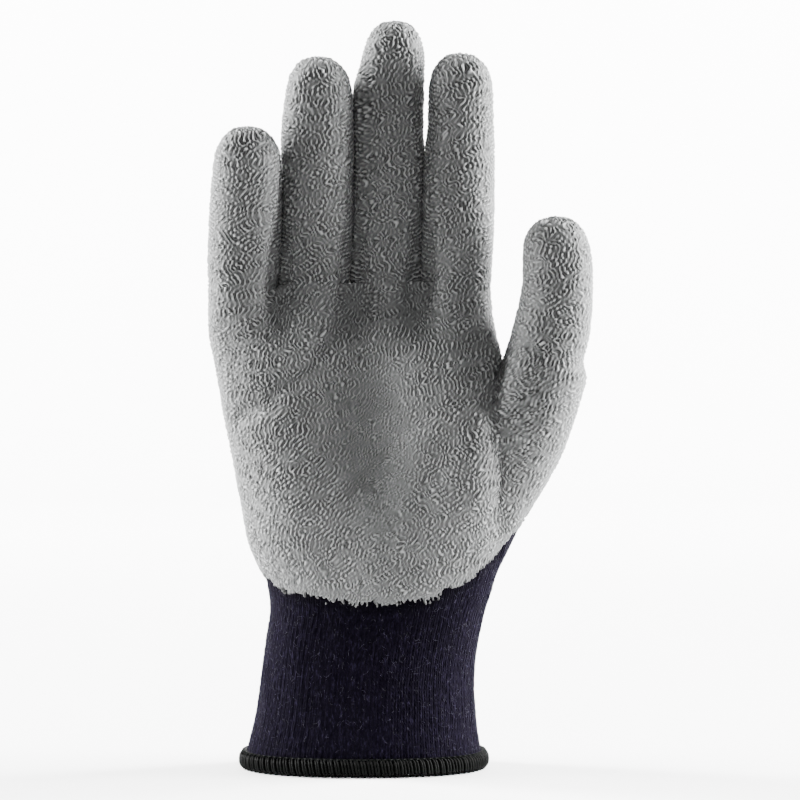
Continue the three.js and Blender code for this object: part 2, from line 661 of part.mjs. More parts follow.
const navyKnit = new THREE.MeshStandardMaterial({ color: 0x1c1830, roughness: 0.95, metalness: 0 });
const navyRib = new THREE.MeshStandardMaterial({ color: 0x1a162c, roughness: 0.95, metalness: 0 });
const greyLatex = new THREE.MeshStandardMaterial({ color: 0x8c908f, roughness: 0.6, metalness: 0 });
const blackThread = new THREE.MeshStandardMaterial({ color: 0x141816, roughness: 0.85, metalness: 0 });

const glove = new THREE.Group();
for (const [name, geometry, material] of [
  ["knit_wrist", knitPiece("knit_wrist"), navyRib],
  ...["knit_palm", ...TUBES, "knit_thumb"].map((tube) => [tube, knitPiece(tube), navyKnit]),
  ["latex_coat", latexCoat(), greyLatex],
  ["cuff_hem", cuffHem(), blackThread],
]) {
  const mesh = new THREE.Mesh(geometry, material);
  mesh.name = name;
  glove.add(mesh);
}

export default glove;
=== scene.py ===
"""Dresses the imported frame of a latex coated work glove: knit, crinkled latex, overlocked hem and fuzz."""

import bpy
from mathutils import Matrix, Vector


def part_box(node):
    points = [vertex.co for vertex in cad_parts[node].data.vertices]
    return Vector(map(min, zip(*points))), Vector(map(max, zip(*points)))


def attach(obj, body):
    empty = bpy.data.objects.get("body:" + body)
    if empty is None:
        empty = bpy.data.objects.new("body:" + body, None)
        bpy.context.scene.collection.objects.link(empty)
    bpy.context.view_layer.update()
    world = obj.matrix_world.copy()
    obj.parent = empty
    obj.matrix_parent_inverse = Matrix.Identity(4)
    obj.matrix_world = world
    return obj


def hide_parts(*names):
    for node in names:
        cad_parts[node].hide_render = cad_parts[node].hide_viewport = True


bl_info = {
    "name": "Latex Coated Grip Glove",
    "version": (1, 0, 0),
    "blender": (4, 5, 0),
    "location": "View3D > Sidebar > Glove",
    "description": "Builds a knitted work glove with a crinkled latex coat around its packed frame",
    "category": "Add Mesh",
}

import bpy
import numpy as np
from bpy.props import FloatProperty, FloatVectorProperty, IntProperty, PointerProperty
from bpy.types import Operator, Panel, PropertyGroup
from mathutils import Vector

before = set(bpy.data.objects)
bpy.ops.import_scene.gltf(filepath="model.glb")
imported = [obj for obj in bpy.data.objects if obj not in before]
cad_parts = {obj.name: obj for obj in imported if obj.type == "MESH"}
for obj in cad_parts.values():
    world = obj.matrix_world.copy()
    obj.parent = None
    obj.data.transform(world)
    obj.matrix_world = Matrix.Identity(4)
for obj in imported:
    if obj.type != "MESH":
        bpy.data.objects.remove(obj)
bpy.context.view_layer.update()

MM = 0.001
TAU = 2 * np.pi

# Heights that the frame gives
HEM_LOW, HEM_HIGH = (Vector(corner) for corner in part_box("cuff_hem"))
HEM_HEIGHT = HEM_HIGH.z - HEM_LOW.z
MOUTH_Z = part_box("knit_wrist")[0][2]
JOINT_Z = (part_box("knit_wrist")[1][2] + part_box("knit_palm")[0][2]) / 2

# Walls, and the hem's section
KNIT_WALL = 1.5 * MM
SKIN = 1.2 * MM  # from the knit's face to the coat's
FINGER_GAP = 0.35 * MM
HEM_DEPTH = 4 * MM
HEM_MIDDLE = -0.2 * MM  # outside the knit's rim
HEM_INSET = 0.25 * MM  # at its top and bottom, which the threads fill

# Wrist and palm
CUFF_LENGTH = 51.8 * MM
WRIST_WIDTH = 68 * MM
WRIST_DEPTH = 42 * MM
PALM_LENGTH = 107 * MM
PALM_DEPTH = 30 * MM
CROTCH_HEIGHT = 77 * MM  # of the thumb's web above the narrow of the wrist
VALLEY_LENGTH = 24 * MM  # below the webs, where the grooves between fingers fade out
WEB_DROP = 2.4 * MM  # of a web's front and back edges below its middle
THUMB_WEB_DEPTH = 8 * MM  # of the thumb's web in front of the hand's middle plane
WEB_RISE = 2.4 * MM  # from a web to where the fingers beside it stand clear of each other
SPLIT_START = 0.15  # share of CROTCH_HEIGHT from which the thumb's root swells out of the palm
BOW = {"start": 0.4, "fade": 0.85}  # where the palm starts to bow to the thumb, and how much fades above
FOLD_FILL = {"squareness": 3.5, "reach": 0.34}  # what palm, thumb's root and valley gain at the fold
FOLD_LENGTH = 17 * MM  # below the thumb's web, over which that fades out
RELIEF_RIM = 0.25  # share of PALM_DEPTH over which the palm's relief grows from its side
RELIEF_TOP = 9 * MM  # below the webs, over which the palm's relief fades out

# Fingers and thumb, over the knit
MIDDLE_FINGER_LENGTH = 85.4 * MM
FINGER_WIDTH = 20.8 * MM
FINGER_DEPTH = 20.8 * MM
FINGER_CURL = 13 * MM
FINGER_ARCH = 4.5 * MM
KNUCKLE_FALL = 3.6 * MM
FINGER_LEAN = 3.2 * MM
THUMB_FORWARD = 11 * MM
THUMB_BASE_HEIGHT = 2 * MM
THUMB_ROOT = {"low": 1.8, "high": 1.12}
TIP_LENGTH = 0.59
TIP_BLUNTNESS = 0.84
TIP_PATCH = 0.11
TIP_SHOULDER = 0.97
SIDE_SPREAD = 0.12
BEND_WAVE = 0.75
WEB_THICKNESS = 0.5
VALLEY = {"front": 0.3, "back": 0.18}
SQUARENESS = {"wrist": 2.3, "palm": 2.5, "finger": 2.25, "hem": 2.6}
TIP_RINGS = np.radians([0, 24, 46, 66])


def table(columns, *rows):
    """Rows of numbers as one array for each named column."""
    return dict(zip(columns.split(), np.array(rows, float).T))


# Each finger's shares of the finger sizes, from the little finger to the index finger
FINGERS = table(
    "length width depth lean curl arch fall",
    (0.628, 1.03, 1.01, 1.0, 1.0, 1.0, 1.0),
    (0.87, 1.035, 1.0, 0.44, 0.885, 0.27, 0.33),
    (1.0, 0.975, 1.0, 0.85, 0.615, -0.36, 0.0),
    (0.876, 1.02, 1.02, 0.16, 0.69, 0.31, 0.11),
)
# Wrist sections. at: share of CUFF_LENGTH, the rest: shares of the wrist's width and depth
WRIST = table(
    "at left right front back",
    (0.0, -0.587, 0.567, 0.53, 0.53),
    (0.1, -0.579, 0.559, 0.525, 0.525),
    (0.19, -0.56, 0.544, 0.51, 0.51),
    (0.34, -0.535, 0.534, 0.495, 0.495),
    (0.5, -0.516, 0.525, 0.485, 0.48),
    (0.73, -0.494, 0.537, 0.48, 0.465),
    (1.0, -0.466, 0.579, 0.51, 0.455),
)
# Hand sections. at: share of PALM_LENGTH, the rest: shares of the knuckle width and of PALM_DEPTH
HAND = table(
    "at left right web front back",
    (0.05, -0.35, 0.446, 0.1, 0.74, 0.63),
    (0.1, -0.361, 0.462, 0.12, 0.765, 0.61),
    (0.2, -0.406, 0.515, 0.2, 0.78, 0.57),
    (0.32, -0.434, 0.581, 0.29, 0.75, 0.53),
    (0.45, -0.462, 0.664, 0.37, 0.68, 0.51),
    (0.58, -0.492, 0.716, 0.43, 0.61, 0.49),
    (0.72, -0.52, 0.757, 0.472, 0.53, 0.47),
    (0.86, -0.546, 0.757, 0.456, 0.48, 0.45),
    (1.0, -0.556, 0.757, 0.452, 0.46, 0.42),
)
FINGER_SECTIONS = table(
    "at width depth",
    (0.0, 0.9, 0.98),
    (0.22, 0.985, 1.0),
    (0.42, 1.0, 0.98),
    (0.62, 0.975, 0.94),
    (0.8, 0.92, 0.88),
    (1.0, 0.87, 0.8),
)
THUMB_SECTIONS = table(
    "at width depth",
    (0.0, 1.12, 1.06),
    (0.25, 1.09, 1.03),
    (0.5, 1.01, 0.98),
    (0.75, 0.96, 0.92),
    (1.0, 0.89, 0.82),
)
# The palm's hollow, groove, mounds and pads, as shares of the knuckle width, PALM_LENGTH and PALM_DEPTH
RELIEF = table(
    "x z across along lift",
    (0.03, 0.6, 0.17, 0.3, -0.13),
    (0.06, 0.2, 0.09, 0.22, -0.07),
    (-0.27, 0.36, 0.17, 0.3, 0.1),
    (0.5, 0.36, 0.2, 0.28, 0.09),
    (-0.2, 0.84, 0.36, 0.12, 0.07),
)
# The coat's lower edge on the palm
HEEL_EDGE = table(
    "x z",
    (-0.56, 0.3),
    (-0.4, 0.15),
    (-0.31, 0.085),
    (-0.2, 0.057),
    (0.0, 0.031),
    (0.12, 0.033),
    (0.21, 0.046),
    (0.34, 0.097),
    (0.48, 0.213),
    (0.6, 0.36),
    (0.7, 0.52),
    (0.8, 0.7),
)
COAT_WRAP = 5.2 * MM
COAT_TIP = 13 * MM
COAT_CORNER_RADIUS = 5 * MM
COAT_OVERLAP = 1.5 * MM  # inside its edge, as far as the fine knit runs on
COAT_RAGGED = 1 * MM  # outside its edge, as far as its teeth may reach

# Columns round the hand, as in the solids, and rows along it
FRONT_COLUMNS = 5
STEP = FRONT_COLUMNS + 1
RING = 2 * STEP
FINGER_NAMES = ["little", "ring", "middle", "index"]
FINGER_COUNT = len(FINGER_NAMES)
PALM_SIDE = FINGER_COUNT * STEP
HAND_SIDE = PALM_SIDE + STEP
PALM_RING, HAND_RING = 2 * PALM_SIDE, 2 * HAND_SIDE
ROW_STEP = 5.4 * MM
FAR = 80 * MM  # stands for a place that is on no fingertip
LEVELS = 4  # Catmull-Clark steps from the cage to the smooth surface

FINGER = {
    "length": FINGERS["length"] * MIDDLE_FINGER_LENGTH,
    "width": FINGERS["width"] * FINGER_WIDTH,
    "depth": FINGERS["depth"] * FINGER_DEPTH,
    "lean": FINGERS["lean"] * FINGER_LEAN,
    "bend": 0 * FINGERS["lean"],
    "curl": FINGERS["curl"] * FINGER_CURL,
}
THUMB = {
    "length": 48.6 * MM,
    "width": 20.8 * MM,
    "depth": 21.4 * MM,
    "lean": -2.2 * MM,
    "bend": 6.6 * MM,
    "curl": 6 * MM,
}
KNUCKLE_WIDTH = np.sum(FINGER["width"] + 2 * SKIN) + FINGER_GAP * (FINGER_COUNT - 1)
WEB_Z = CUFF_LENGTH + PALM_LENGTH
CROTCH_Z = CUFF_LENGTH + CROTCH_HEIGHT


def spot(x, y, z):
    return np.stack(np.broadcast_arrays(x, y, z), -1)


def mix(a, b, t):
    return a + (b - a) * t


def smooth(low, high, x):
    t = np.clip((x - low) / np.maximum(high - low, 1e-9), 0, 1)
    return t * t * (3 - 2 * t)


def unit(v):
    return v / np.maximum(np.linalg.norm(v, axis=-1, keepdims=True), 1e-12)


def sample(rows, key, place):
    """Every column of a table at places between its rows, on a cubic with the slopes of its neighbours."""
    keys = rows[key]
    place = np.clip(place, keys[0], keys[-1])
    i = np.clip(np.searchsorted(keys, place, side="right") - 1, 0, len(keys) - 2)
    every = np.arange(len(keys))
    before, after = np.maximum(every - 1, 0), np.minimum(every + 1, len(keys) - 1)
    span = keys[i + 1] - keys[i]
    t = (place - keys[i]) / span
    found = {}
    for name, values in rows.items():
        slope = (values[after] - values[before]) / (keys[after] - keys[before])
        rise = values[i + 1] - values[i]
        bend = t * (1 - t) * ((1 - t) * (slope[i] * span - rise) - t * (slope[i + 1] * span - rise))
        found[name] = values[i] + t * rise + bend
    return found


def in_metres(rows, start, length, width, depth, skin):
    """A table of sections in metres, with the coat's skin taken off the sides."""
    found = {"z": start + rows["at"] * length, "left": rows["left"] * width + skin}
    found |= {name: rows[name] * width - skin for name in ("right", "web")}
    return found | {name: rows[name] * depth for name in ("front", "back")}


def all_sections():
    """The hand's sections in metres, from the mouth to the finger webs."""
    narrow = {**WRIST, "web": WRIST["right"]}
    wrist = in_metres(narrow, 0, CUFF_LENGTH, WRIST_WIDTH, WRIST_DEPTH, 0)
    hand = in_metres(HAND, CUFF_LENGTH, PALM_LENGTH, KNUCKLE_WIDTH, PALM_DEPTH, SKIN)
    return {name: np.concatenate([wrist[name], hand[name]]) for name in wrist}


SECTIONS = all_sections()


def finger_stands():
    """Where each finger stands: side by side from the little finger's outer edge."""
    wide = FINGER["width"] + 2 * SKIN
    left = HAND["left"][-1] * KNUCKLE_WIDTH + np.concatenate([[0], np.cumsum(wide + FINGER_GAP)[:-1]])
    return spot(left + wide / 2, -FINGERS["arch"] * FINGER_ARCH, WEB_Z - FINGERS["fall"] * KNUCKLE_FALL)


STANDS = finger_stands()


def oval(angle, squareness):
    """A rounded oval of reach 1: cosine and sine of the angle, each to the power 2 / squareness."""
    return tuple(np.sign(v) * np.abs(v) ** (2 / squareness) for v in (np.cos(angle), np.sin(angle)))


def ring_angle(k):
    """Which way round a finger each column lies, from its left side over its front."""
    turn = TAU * k / RING
    return np.pi + turn + SIDE_SPREAD * np.sin(2 * turn)


def bell(x, z, x0, z0, across, along):
    """A soft bell on the palm: exp(-u^2 - v^2), with u and v in shares of its reach each way."""
    u = (x / KNUCKLE_WIDTH - x0) / across
    v = ((z - CUFF_LENGTH) / PALM_LENGTH - z0) / along
    return np.exp(-u * u - v * v)


def relief(x, z):
    """How far the palm stands out: a sum of soft bells, one for each row of the relief table."""
    return sum(lift * PALM_DEPTH * bell(x, z, *row) for *row, lift in zip(*RELIEF.values()))


def palm_bow(x, s, z):
    """How far the palm bows forward to the thumb's web: all of it there, less across the palm and above."""
    across = smooth(mix(s["left"], s["web"], BOW["start"]), s["web"], x)
    return THUMB_WEB_DEPTH * across * (1 - BOW["fade"] * smooth(CROTCH_Z, WEB_Z, z))


def middle_shift(x, z):
    """How far the hand's own middle lies in front of its middle plane."""
    s = sample(SECTIONS, "z", z)
    on_thumb = np.where(z > CROTCH_Z, 0, smooth(s["web"], (s["web"] + s["right"]) / 2, x))
    return mix(palm_bow(x, s, z), THUMB_FORWARD, on_thumb) * smooth(CUFF_LENGTH, CROTCH_Z, z)


def finger_bases(side):
    """Where the palm's columns end, on one side of the hand: on the finger bases, and on the webs between."""
    turn = np.arange(PALM_SIDE + 1)
    i = np.minimum(turn // STEP, FINGER_COUNT - 1)
    column = turn - i * STEP
    u, v = oval(ring_angle(side * column), SQUARENESS["finger"])
    wide, deep, stand = FINGER["width"][i], FINGER["depth"][i], STANDS[i]
    base = stand + spot(u * wide * FINGER_SECTIONS["width"][0] / 2, v * deep / 2, 0)
    j = np.maximum(i - 1, 0)
    web = (stand + STANDS[j]) / 2
    web[:, 0] += (FINGER["width"][j] - wide) / 4
    web[:, 1] -= side * np.minimum(deep, FINGER["depth"][j]) / 2 * WEB_THICKNESS
    web[:, 2] -= WEB_DROP
    return np.where(((column == 0) & (i > 0))[:, None], web, base)


BASES = {side: finger_bases(side) for side in (1, -1)}


def fold_fill(z):
    """How much the fold between the palm and the thumb's root is filled: all low down, none at the web."""
    return 1 - smooth(CROTCH_Z - FOLD_LENGTH, CROTCH_Z, z)


def filled_squareness(name, chosen, z):
    """A named squareness, more square in the chosen columns, which lie in the fold."""
    return SQUARENESS[name] + np.where(chosen, FOLD_FILL["squareness"] * fold_fill(z), 0)


def palm_points(k, z):
    """Columns of the four-finger part of the hand: its own oval, run up into the finger bases. Each column
    keeps the place across the hand that it has at the bases."""
    s = sample(SECTIONS, "z", z)
    front = k <= PALM_SIDE
    turn = np.where(front, k, PALM_RING - k)
    base = np.where(front[..., None], BASES[1][turn], BASES[-1][turn])
    left, right = BASES[1][0, 0], BASES[1][-1, 0]
    across = (base[..., 0] - left) / (right - left)
    x = mix(s["left"], s["web"], across)
    squareness = filled_squareness("palm", front & (across > 0.5), z)
    v = np.maximum(1 - np.abs(2 * across - 1) ** squareness, 0) ** (1 / squareness)
    own = spot(x, np.where(front, -v * s["front"], v * s["back"]) - palm_bow(x, s, z), z)
    top = spot(base[..., 0], base[..., 1], base[..., 2] + z - WEB_Z)
    return mix(own, top, smooth(WEB_Z - VALLEY_LENGTH, WEB_Z, z)[..., None])


def thumb_points(k, z):
    """Columns of the thumb's root: an oval from the web's line to the hand's right side, swelling forward."""
    s = sample(SECTIONS, "z", z)
    rise = smooth(CUFF_LENGTH, CROTCH_Z, z)
    u, v = oval(ring_angle(k), filled_squareness("finger", k < RING / 4, z))
    deep = THUMB["depth"] * mix(THUMB_ROOT["low"], THUMB_ROOT["high"], rise)
    return spot(mix(s["web"], s["right"], (u + 1) / 2), v * deep / 2 - THUMB_FORWARD * np.sqrt(rise), z)


def hand_rings(z):
    """Whole rings of the hand at a column of heights: one oval low down, which parts into palm, valley and
    thumb root on the way up to the thumb's web."""
    z = z[:, None]
    k = np.arange(HAND_RING)
    front = k <= HAND_SIDE
    side = np.where(front, 1, -1)
    turn = np.where(front, k, HAND_RING - k)
    s = sample(SECTIONS, "z", z)
    squareness = mix(SQUARENESS["wrist"], SQUARENESS["palm"], smooth(CUFF_LENGTH, CROTCH_Z, z))
    u, v = oval(np.pi + np.pi * k / HAND_SIDE, squareness)
    whole = spot(mix(s["left"], s["right"], (u + 1) / 2), v * np.where(v < 0, s["front"], s["back"]), z)
    inner = np.minimum(turn, PALM_SIDE - 1)
    palm = palm_points(np.where(front, inner, PALM_RING - inner), z)
    outer = np.maximum(turn - PALM_SIDE, 0)
    thumb = thumb_points(np.where(front, outer, RING - outer), z)
    reach = np.where(side > 0, -VALLEY["front"] - FOLD_FILL["reach"] * fold_fill(z), VALLEY["back"])
    valley = spot(s["web"], -THUMB_WEB_DEPTH + THUMB["depth"] * reach, z - WEB_DROP)
    split = np.where((turn < PALM_SIDE)[:, None], palm, thumb)
    split = np.where((turn == PALM_SIDE)[:, None], valley, split)
    share = smooth(CUFF_LENGTH + SPLIT_START * CROTCH_HEIGHT, CROTCH_Z, z)
    ring = mix(whole, split, share[..., None])
    ring[..., 1] -= relief(ring[..., 0], ring[..., 2]) * smooth(0, RELIEF_RIM * PALM_DEPTH, -ring[..., 1])
    return ring, ring[..., 1] + middle_shift(ring[..., 0], z)


def finger_rings(finger, stand, sections, t, shrink=1.0, lift=0.0):
    """Rings of a finger: ovals square to its curved spine, at shares t of its length, lifted along it. Also
    how far each point lies behind the finger's middle and below its tip."""
    t, shrink, lift = np.broadcast_arrays(np.asarray(t, float), shrink, lift)

    def spine(s):
        x = stand[0] + finger["lean"] * s + finger["bend"] * np.sin(np.pi * BEND_WAVE * s)
        return spot(x, stand[1] - finger["curl"] * s * s, stand[2] + finger["length"] * s)

    along = unit(spine(t + 0.01) - spine(t - 0.01))
    across = unit(spot(1 - along[:, 0] ** 2, -along[:, 0] * along[:, 1], -along[:, 0] * along[:, 2]))
    out = np.cross(along, across)
    size = sample(sections, "at", t)
    u, v = oval(ring_angle(np.arange(RING)), SQUARENESS["finger"])
    wide = (finger["width"] * size["width"] * shrink / 2)[:, None] * u
    deep = (finger["depth"] * size["depth"] * shrink / 2)[:, None] * v
    centre = spine(t) + along * lift[:, None]
    points = centre[:, None] + across[:, None] * wide[..., None] + out[:, None] * deep[..., None]
    from_tip = finger["length"] * (1 - t) - lift
    return points, deep, np.repeat(from_tip[:, None], RING, axis=1)


class Net:
    """A cage of quads over the knit's outer face. Points carry x, y, z, how far they lie behind the middle of
    their finger, and how far below its tip. Face corners carry their column and height on the knit."""

    def __init__(self):
        self.points, self.quads, self.places, self.owners = [], [], [], []
        self.count = 0

    def add(self, points, behind, from_tip=FAR):
        """Takes points in and gives their ids."""
        rows = np.concatenate([points, spot(behind, from_tip, 0)[..., :2] + 0 * points[..., :2]], -1)
        ids = self.count + np.arange(rows[..., 0].size).reshape(rows.shape[:-1])
        self.points.append(rows.reshape(-1, rows.shape[-1]))
        self.count += ids.size
        return ids

    def bands(self, owner, rings, heights):
        """Joins rings of ids, one to the next, round the whole hand or finger."""
        low, high = rings[:-1], rings[1:]
        quads = np.stack([low, np.roll(low, -1, 1), np.roll(high, -1, 1), high], -1)
        k = np.broadcast_to(np.arange(rings.shape[1]), low.shape)
        u = np.stack([k, k + 1, k + 1, k], -1)
        z0, z1 = (np.broadcast_to(np.asarray(h)[:, None], low.shape) for h in (heights[:-1], heights[1:]))
        self.faces(owner, quads, u, np.stack([z0, z0, z1, z1], -1))

    def faces(self, owner, quads, u, v):
        """Takes quads in, with the column u and the height v of their corners."""
        quads = np.asarray(quads)
        place = spot(u, v, 0 * quads)[..., :2]
        self.quads.append(quads.reshape(-1, 4))
        self.places.append(place.reshape(-1, 4, 2))
        self.owners += [owner] * (quads.size // 4)


# The quads over a tip, between the twelve points of its last ring and three points inside that
TIP_QUADS = np.array([
    [(1, 2, 12, 0), (12, 2, 3, 13), (13, 3, 4, 14), (5, 6, 14, 4)],
    [(7, 8, 14, 6), (14, 8, 9, 13), (13, 9, 10, 12), (11, 0, 12, 10)],
]).reshape(-1, 4)


def finger_tube(net, owner, finger, stand, sections, seam):
    """One finger or the thumb: rings up to its rounded tip, closed by a patch of eight quads."""
    tip = TIP_LENGTH * finger["width"]
    straight = 1 - tip / finger["length"]
    rows = max(2, round(finger["length"] * straight / ROW_STEP))
    t = np.concatenate([np.arange(1, rows) / rows * straight, np.full(len(TIP_RINGS), straight)])
    shrink = np.concatenate([np.ones(rows - 1), np.cos(TIP_RINGS) ** TIP_BLUNTNESS])
    lift = np.concatenate([np.zeros(rows - 1), tip * np.sin(TIP_RINGS)])
    rings = net.add(*finger_rings(finger, stand, sections, t, shrink, lift))
    heights = stand[2] + np.concatenate([[0], t * finger["length"] + lift])
    net.bands(owner, np.vstack([seam, rings]), heights)
    points, _, _ = finger_rings(finger, stand, sections, [straight])
    centre = points[0].mean(0)
    right = unit(points[0][STEP] - points[0][0])
    ahead = unit(np.cross(right, points[0][0] - points[0][FRONT_COLUMNS - 2]))
    ahead = ahead * np.sign(ahead[2])
    offset = np.array([-1, 0, 1])[:, None] * right * finger["width"] * sections["width"][-1] * TIP_PATCH
    caps = centre + offset + ahead * tip * np.array([TIP_SHOULDER, 1, TIP_SHOULDER])[:, None]
    ids = np.concatenate([rings[-1], net.add(caps, 0, 0)])
    net.faces(owner, ids[TIP_QUADS], 0, heights[-1])


def build_net():
    """The whole cage, from the mouth to the five tips, laid out as the solids are."""
    net = Net()
    low = np.linspace(MOUTH_Z, JOINT_Z, 1 + round((JOINT_Z - MOUTH_Z) / ROW_STEP))
    high = np.linspace(JOINT_Z, CROTCH_Z, 1 + round((CROTCH_Z - JOINT_Z) / ROW_STEP))
    heights = np.concatenate([low, high[1:]])
    rings = net.add(*hand_rings(heights))
    net.bands("knit_wrist", rings[: len(low)], low)
    net.bands("knit_palm", rings[len(low) - 1 :], high)

    s = sample(SECTIONS, "z", np.array([CROTCH_Z]))
    crotch = spot(s["web"], -THUMB_WEB_DEPTH, CROTCH_Z)
    web = net.add(crotch, crotch[:, 1])[0]
    ring = rings[-1]
    palm = np.concatenate([ring[:PALM_SIDE], [web], ring[HAND_RING - PALM_SIDE + 1 :]])
    thumb = np.concatenate([[web], ring[PALM_SIDE + 1 : PALM_SIDE + RING]])
    front_web = (ring[PALM_SIDE], thumb[1], web, ring[PALM_SIDE - 1])
    back_web = (ring[HAND_RING - PALM_SIDE], palm[PALM_SIDE + 1], web, thumb[-1])
    net.faces("knit_palm", [front_web, back_web], [0, 1, 0, -1], CROTCH_Z)

    z = np.linspace(CROTCH_Z, WEB_Z, 1 + round((WEB_Z - CROTCH_Z) / ROW_STEP))
    level = z[1:, None]
    points = palm_points(np.arange(PALM_RING), level)
    fade = 1 - smooth(WEB_Z - RELIEF_TOP, WEB_Z, level)
    fade = fade * smooth(0, RELIEF_RIM * PALM_DEPTH, -points[..., 1])
    points[..., 1] -= relief(points[..., 0], points[..., 2]) * fade
    y = points[..., 1]
    own = (y - y[:, -np.arange(PALM_RING)]) / 2
    behind = mix(y + middle_shift(points[..., 0], level), own, smooth(WEB_Z - VALLEY_LENGTH, WEB_Z, level))
    upper = net.add(points, behind)
    net.bands("knit_palm", np.vstack([palm, upper]), z)

    top = upper[-1]
    k = STEP * np.arange(1, FINGER_COUNT)
    middle = (points[-1][k] + points[-1][PALM_RING - k]) / 2 + [0, 0, WEB_DROP]
    webs = net.add(middle, middle[:, 1])
    for m, n in zip(webs, k):
        at = [top[(i + PALM_RING) % PALM_RING] for i in (n, n + 1, n - 1, -n, -n + 1, -n - 1)]
        net.faces("knit_palm", [(at[0], at[1], m, at[2]), (at[3], at[4], m, at[5])], [0, 1, 0, -1], WEB_Z)
    for i, name in enumerate(FINGER_NAMES):
        finger = {key: values[i] for key, values in FINGER.items()}
        start = i * STEP
        left = top[0] if i == 0 else webs[i - 1]
        right = top[PALM_SIDE] if i == FINGER_COUNT - 1 else webs[i]
        front = top[start + 1 : start + STEP]
        rear = top[PALM_RING - start - FRONT_COLUMNS : PALM_RING - start]
        base = np.concatenate([[left], front, [right], rear])
        seam = net.add(*finger_rings(finger, STANDS[i], FINGER_SECTIONS, [WEB_RISE / finger["length"]]))
        net.bands("knit_palm", np.vstack([base, seam]), [STANDS[i][2], STANDS[i][2] + WEB_RISE])
        finger_tube(net, f"knit_{name}_finger", finger, STANDS[i], FINGER_SECTIONS, seam)
    stand = np.array([(s["web"][0] + s["right"][0]) / 2, -THUMB_FORWARD, CROTCH_Z + THUMB_BASE_HEIGHT])
    finger_tube(net, "knit_thumb", THUMB, stand, THUMB_SECTIONS, thumb)
    return net


def lattice(quads, cuts):
    """Point ids that divide each face of a cage by cuts both ways and are shared along its edges. Corners
    keep the cage's ids, then come the points inside edges, from the lower corner id, and inside faces."""
    ends = np.stack([quads, np.roll(quads, -1, axis=1)], -1)
    first = quads.max() + 1
    keys, index = np.unique(ends.min(-1) * first + ends.max(-1), return_inverse=True)
    inner = cuts - 1
    step = np.arange(inner)
    forward = (ends[..., 0] < ends[..., 1])[..., None]
    edge = first + index.reshape(-1, 4, 1) * inner + np.where(forward, step, inner - 1 - step)
    grid = np.empty((len(quads), cuts + 1, cuts + 1), int)
    grid[:, 0, 0], grid[:, -1, 0], grid[:, -1, -1], grid[:, 0, -1] = quads.T
    grid[:, 1:-1, 0], grid[:, -1, 1:-1] = edge[:, 0], edge[:, 1]
    grid[:, 1:-1, -1], grid[:, 0, 1:-1] = edge[:, 2, ::-1], edge[:, 3, ::-1]
    inside = first + len(keys) * inner
    grid[:, 1:-1, 1:-1] = inside + np.arange(len(quads) * inner * inner).reshape(len(quads), inner, inner)
    return grid


def small_quads(grid):
    return np.stack([grid[:, :-1, :-1], grid[:, 1:, :-1], grid[:, 1:, 1:], grid[:, :-1, 1:]], -1)


def quads_of(grid):
    return small_quads(grid).reshape(-1, 4)


def gathered(ids, values, size):
    """The sum of the values that share an id."""
    flat = ids.ravel()
    columns = values.reshape(len(flat), -1).T
    return np.stack([np.bincount(flat, weights=column, minlength=size) for column in columns], -1)


def refined(points, quads, cuts):
    """One Catmull-Clark step. A face point is the mean of its corners, an edge point the mean of its ends
    and of the faces beside it, and an old point of n faces goes to (faces + 2 edges + (n - 3) itself) / n."""
    old, new = lattice(quads, cuts), lattice(quads, 2 * cuts)
    small = quads_of(old)
    size, grown = len(points), new.max() + 1
    corner = points[small]
    middle = corner.mean(1)
    each = np.repeat(middle[:, None], 4, axis=1)
    ahead, behind = np.roll(corner, -1, axis=1), np.roll(corner, 1, axis=1)
    sides = [new[:, 1::2, :-1:2], new[:, 2::2, 1::2], new[:, 1::2, 2::2], new[:, :-1:2, 1::2]]
    sides = np.stack(sides, -1).reshape(-1, 4)

    beside = np.bincount(sides.ravel(), minlength=grown)[:, None]
    ends = gathered(sides, corner + ahead, grown) / np.maximum(beside, 1)
    out = np.where(beside == 2, (ends + gathered(sides, each, grown)) / 4, ends / 2)
    out[new[:, 1::2, 1::2].ravel()] = middle

    n = np.maximum(np.bincount(small.ravel(), minlength=size)[:, None], 1)
    faces = gathered(small, each, size) / n
    edges = gathered(small, corner + (ahead + behind) / 2, size) / (2 * n)
    moved = (faces + 2 * edges + (n - 3) * points) / n
    open_side = (beside[sides] == 1)[..., 0]
    here, there = small[open_side], np.roll(small, -1, axis=1)[open_side]
    beside_rim = gathered(np.concatenate([here, there]), points[np.concatenate([there, here])], size)
    moved[here] = (6 * points[here] + beside_rim[here]) / 8
    out[new[:, ::2, ::2].ravel()] = moved[old.ravel()]
    return out


def through(points, quads, rounds=4):
    """A cage whose smooth surface runs through the given points: each is moved by what the surface misses."""
    size = len(points)
    n = np.bincount(quads.ravel(), minlength=size)[:, None]
    ends = np.stack([quads, np.roll(quads, -1, axis=1)], -1).reshape(-1, 2)
    keys, count = np.unique(np.sort(ends, axis=1), axis=0, return_counts=True)
    rim = keys[count == 1]
    on_rim = np.unique(rim)
    cage = points
    for _ in range(rounds):
        corner = cage[quads]
        near = 2 * (np.roll(corner, -1, axis=1) + np.roll(corner, 1, axis=1)) + np.roll(corner, 2, axis=1)
        limit = (n * n * cage + gathered(quads, near, size)) / (n * (n + 5))
        beside_rim = gathered(rim.T.ravel(), cage[rim.T[::-1].ravel()], size)
        limit[on_rim] = (4 * cage[on_rim] + beside_rim[on_rim]) / 6
        cage = cage + points - limit
    return cage


def normals_of(points, quads):
    """Outward directions: at each point the mean of the cross products of its faces' diagonals."""
    a, b, c, d = (points[quads[:, i]] for i in range(4))
    face = np.cross(c - a, d - b)
    return unit(gathered(quads, np.repeat(face[:, None], 4, axis=1), len(points)))


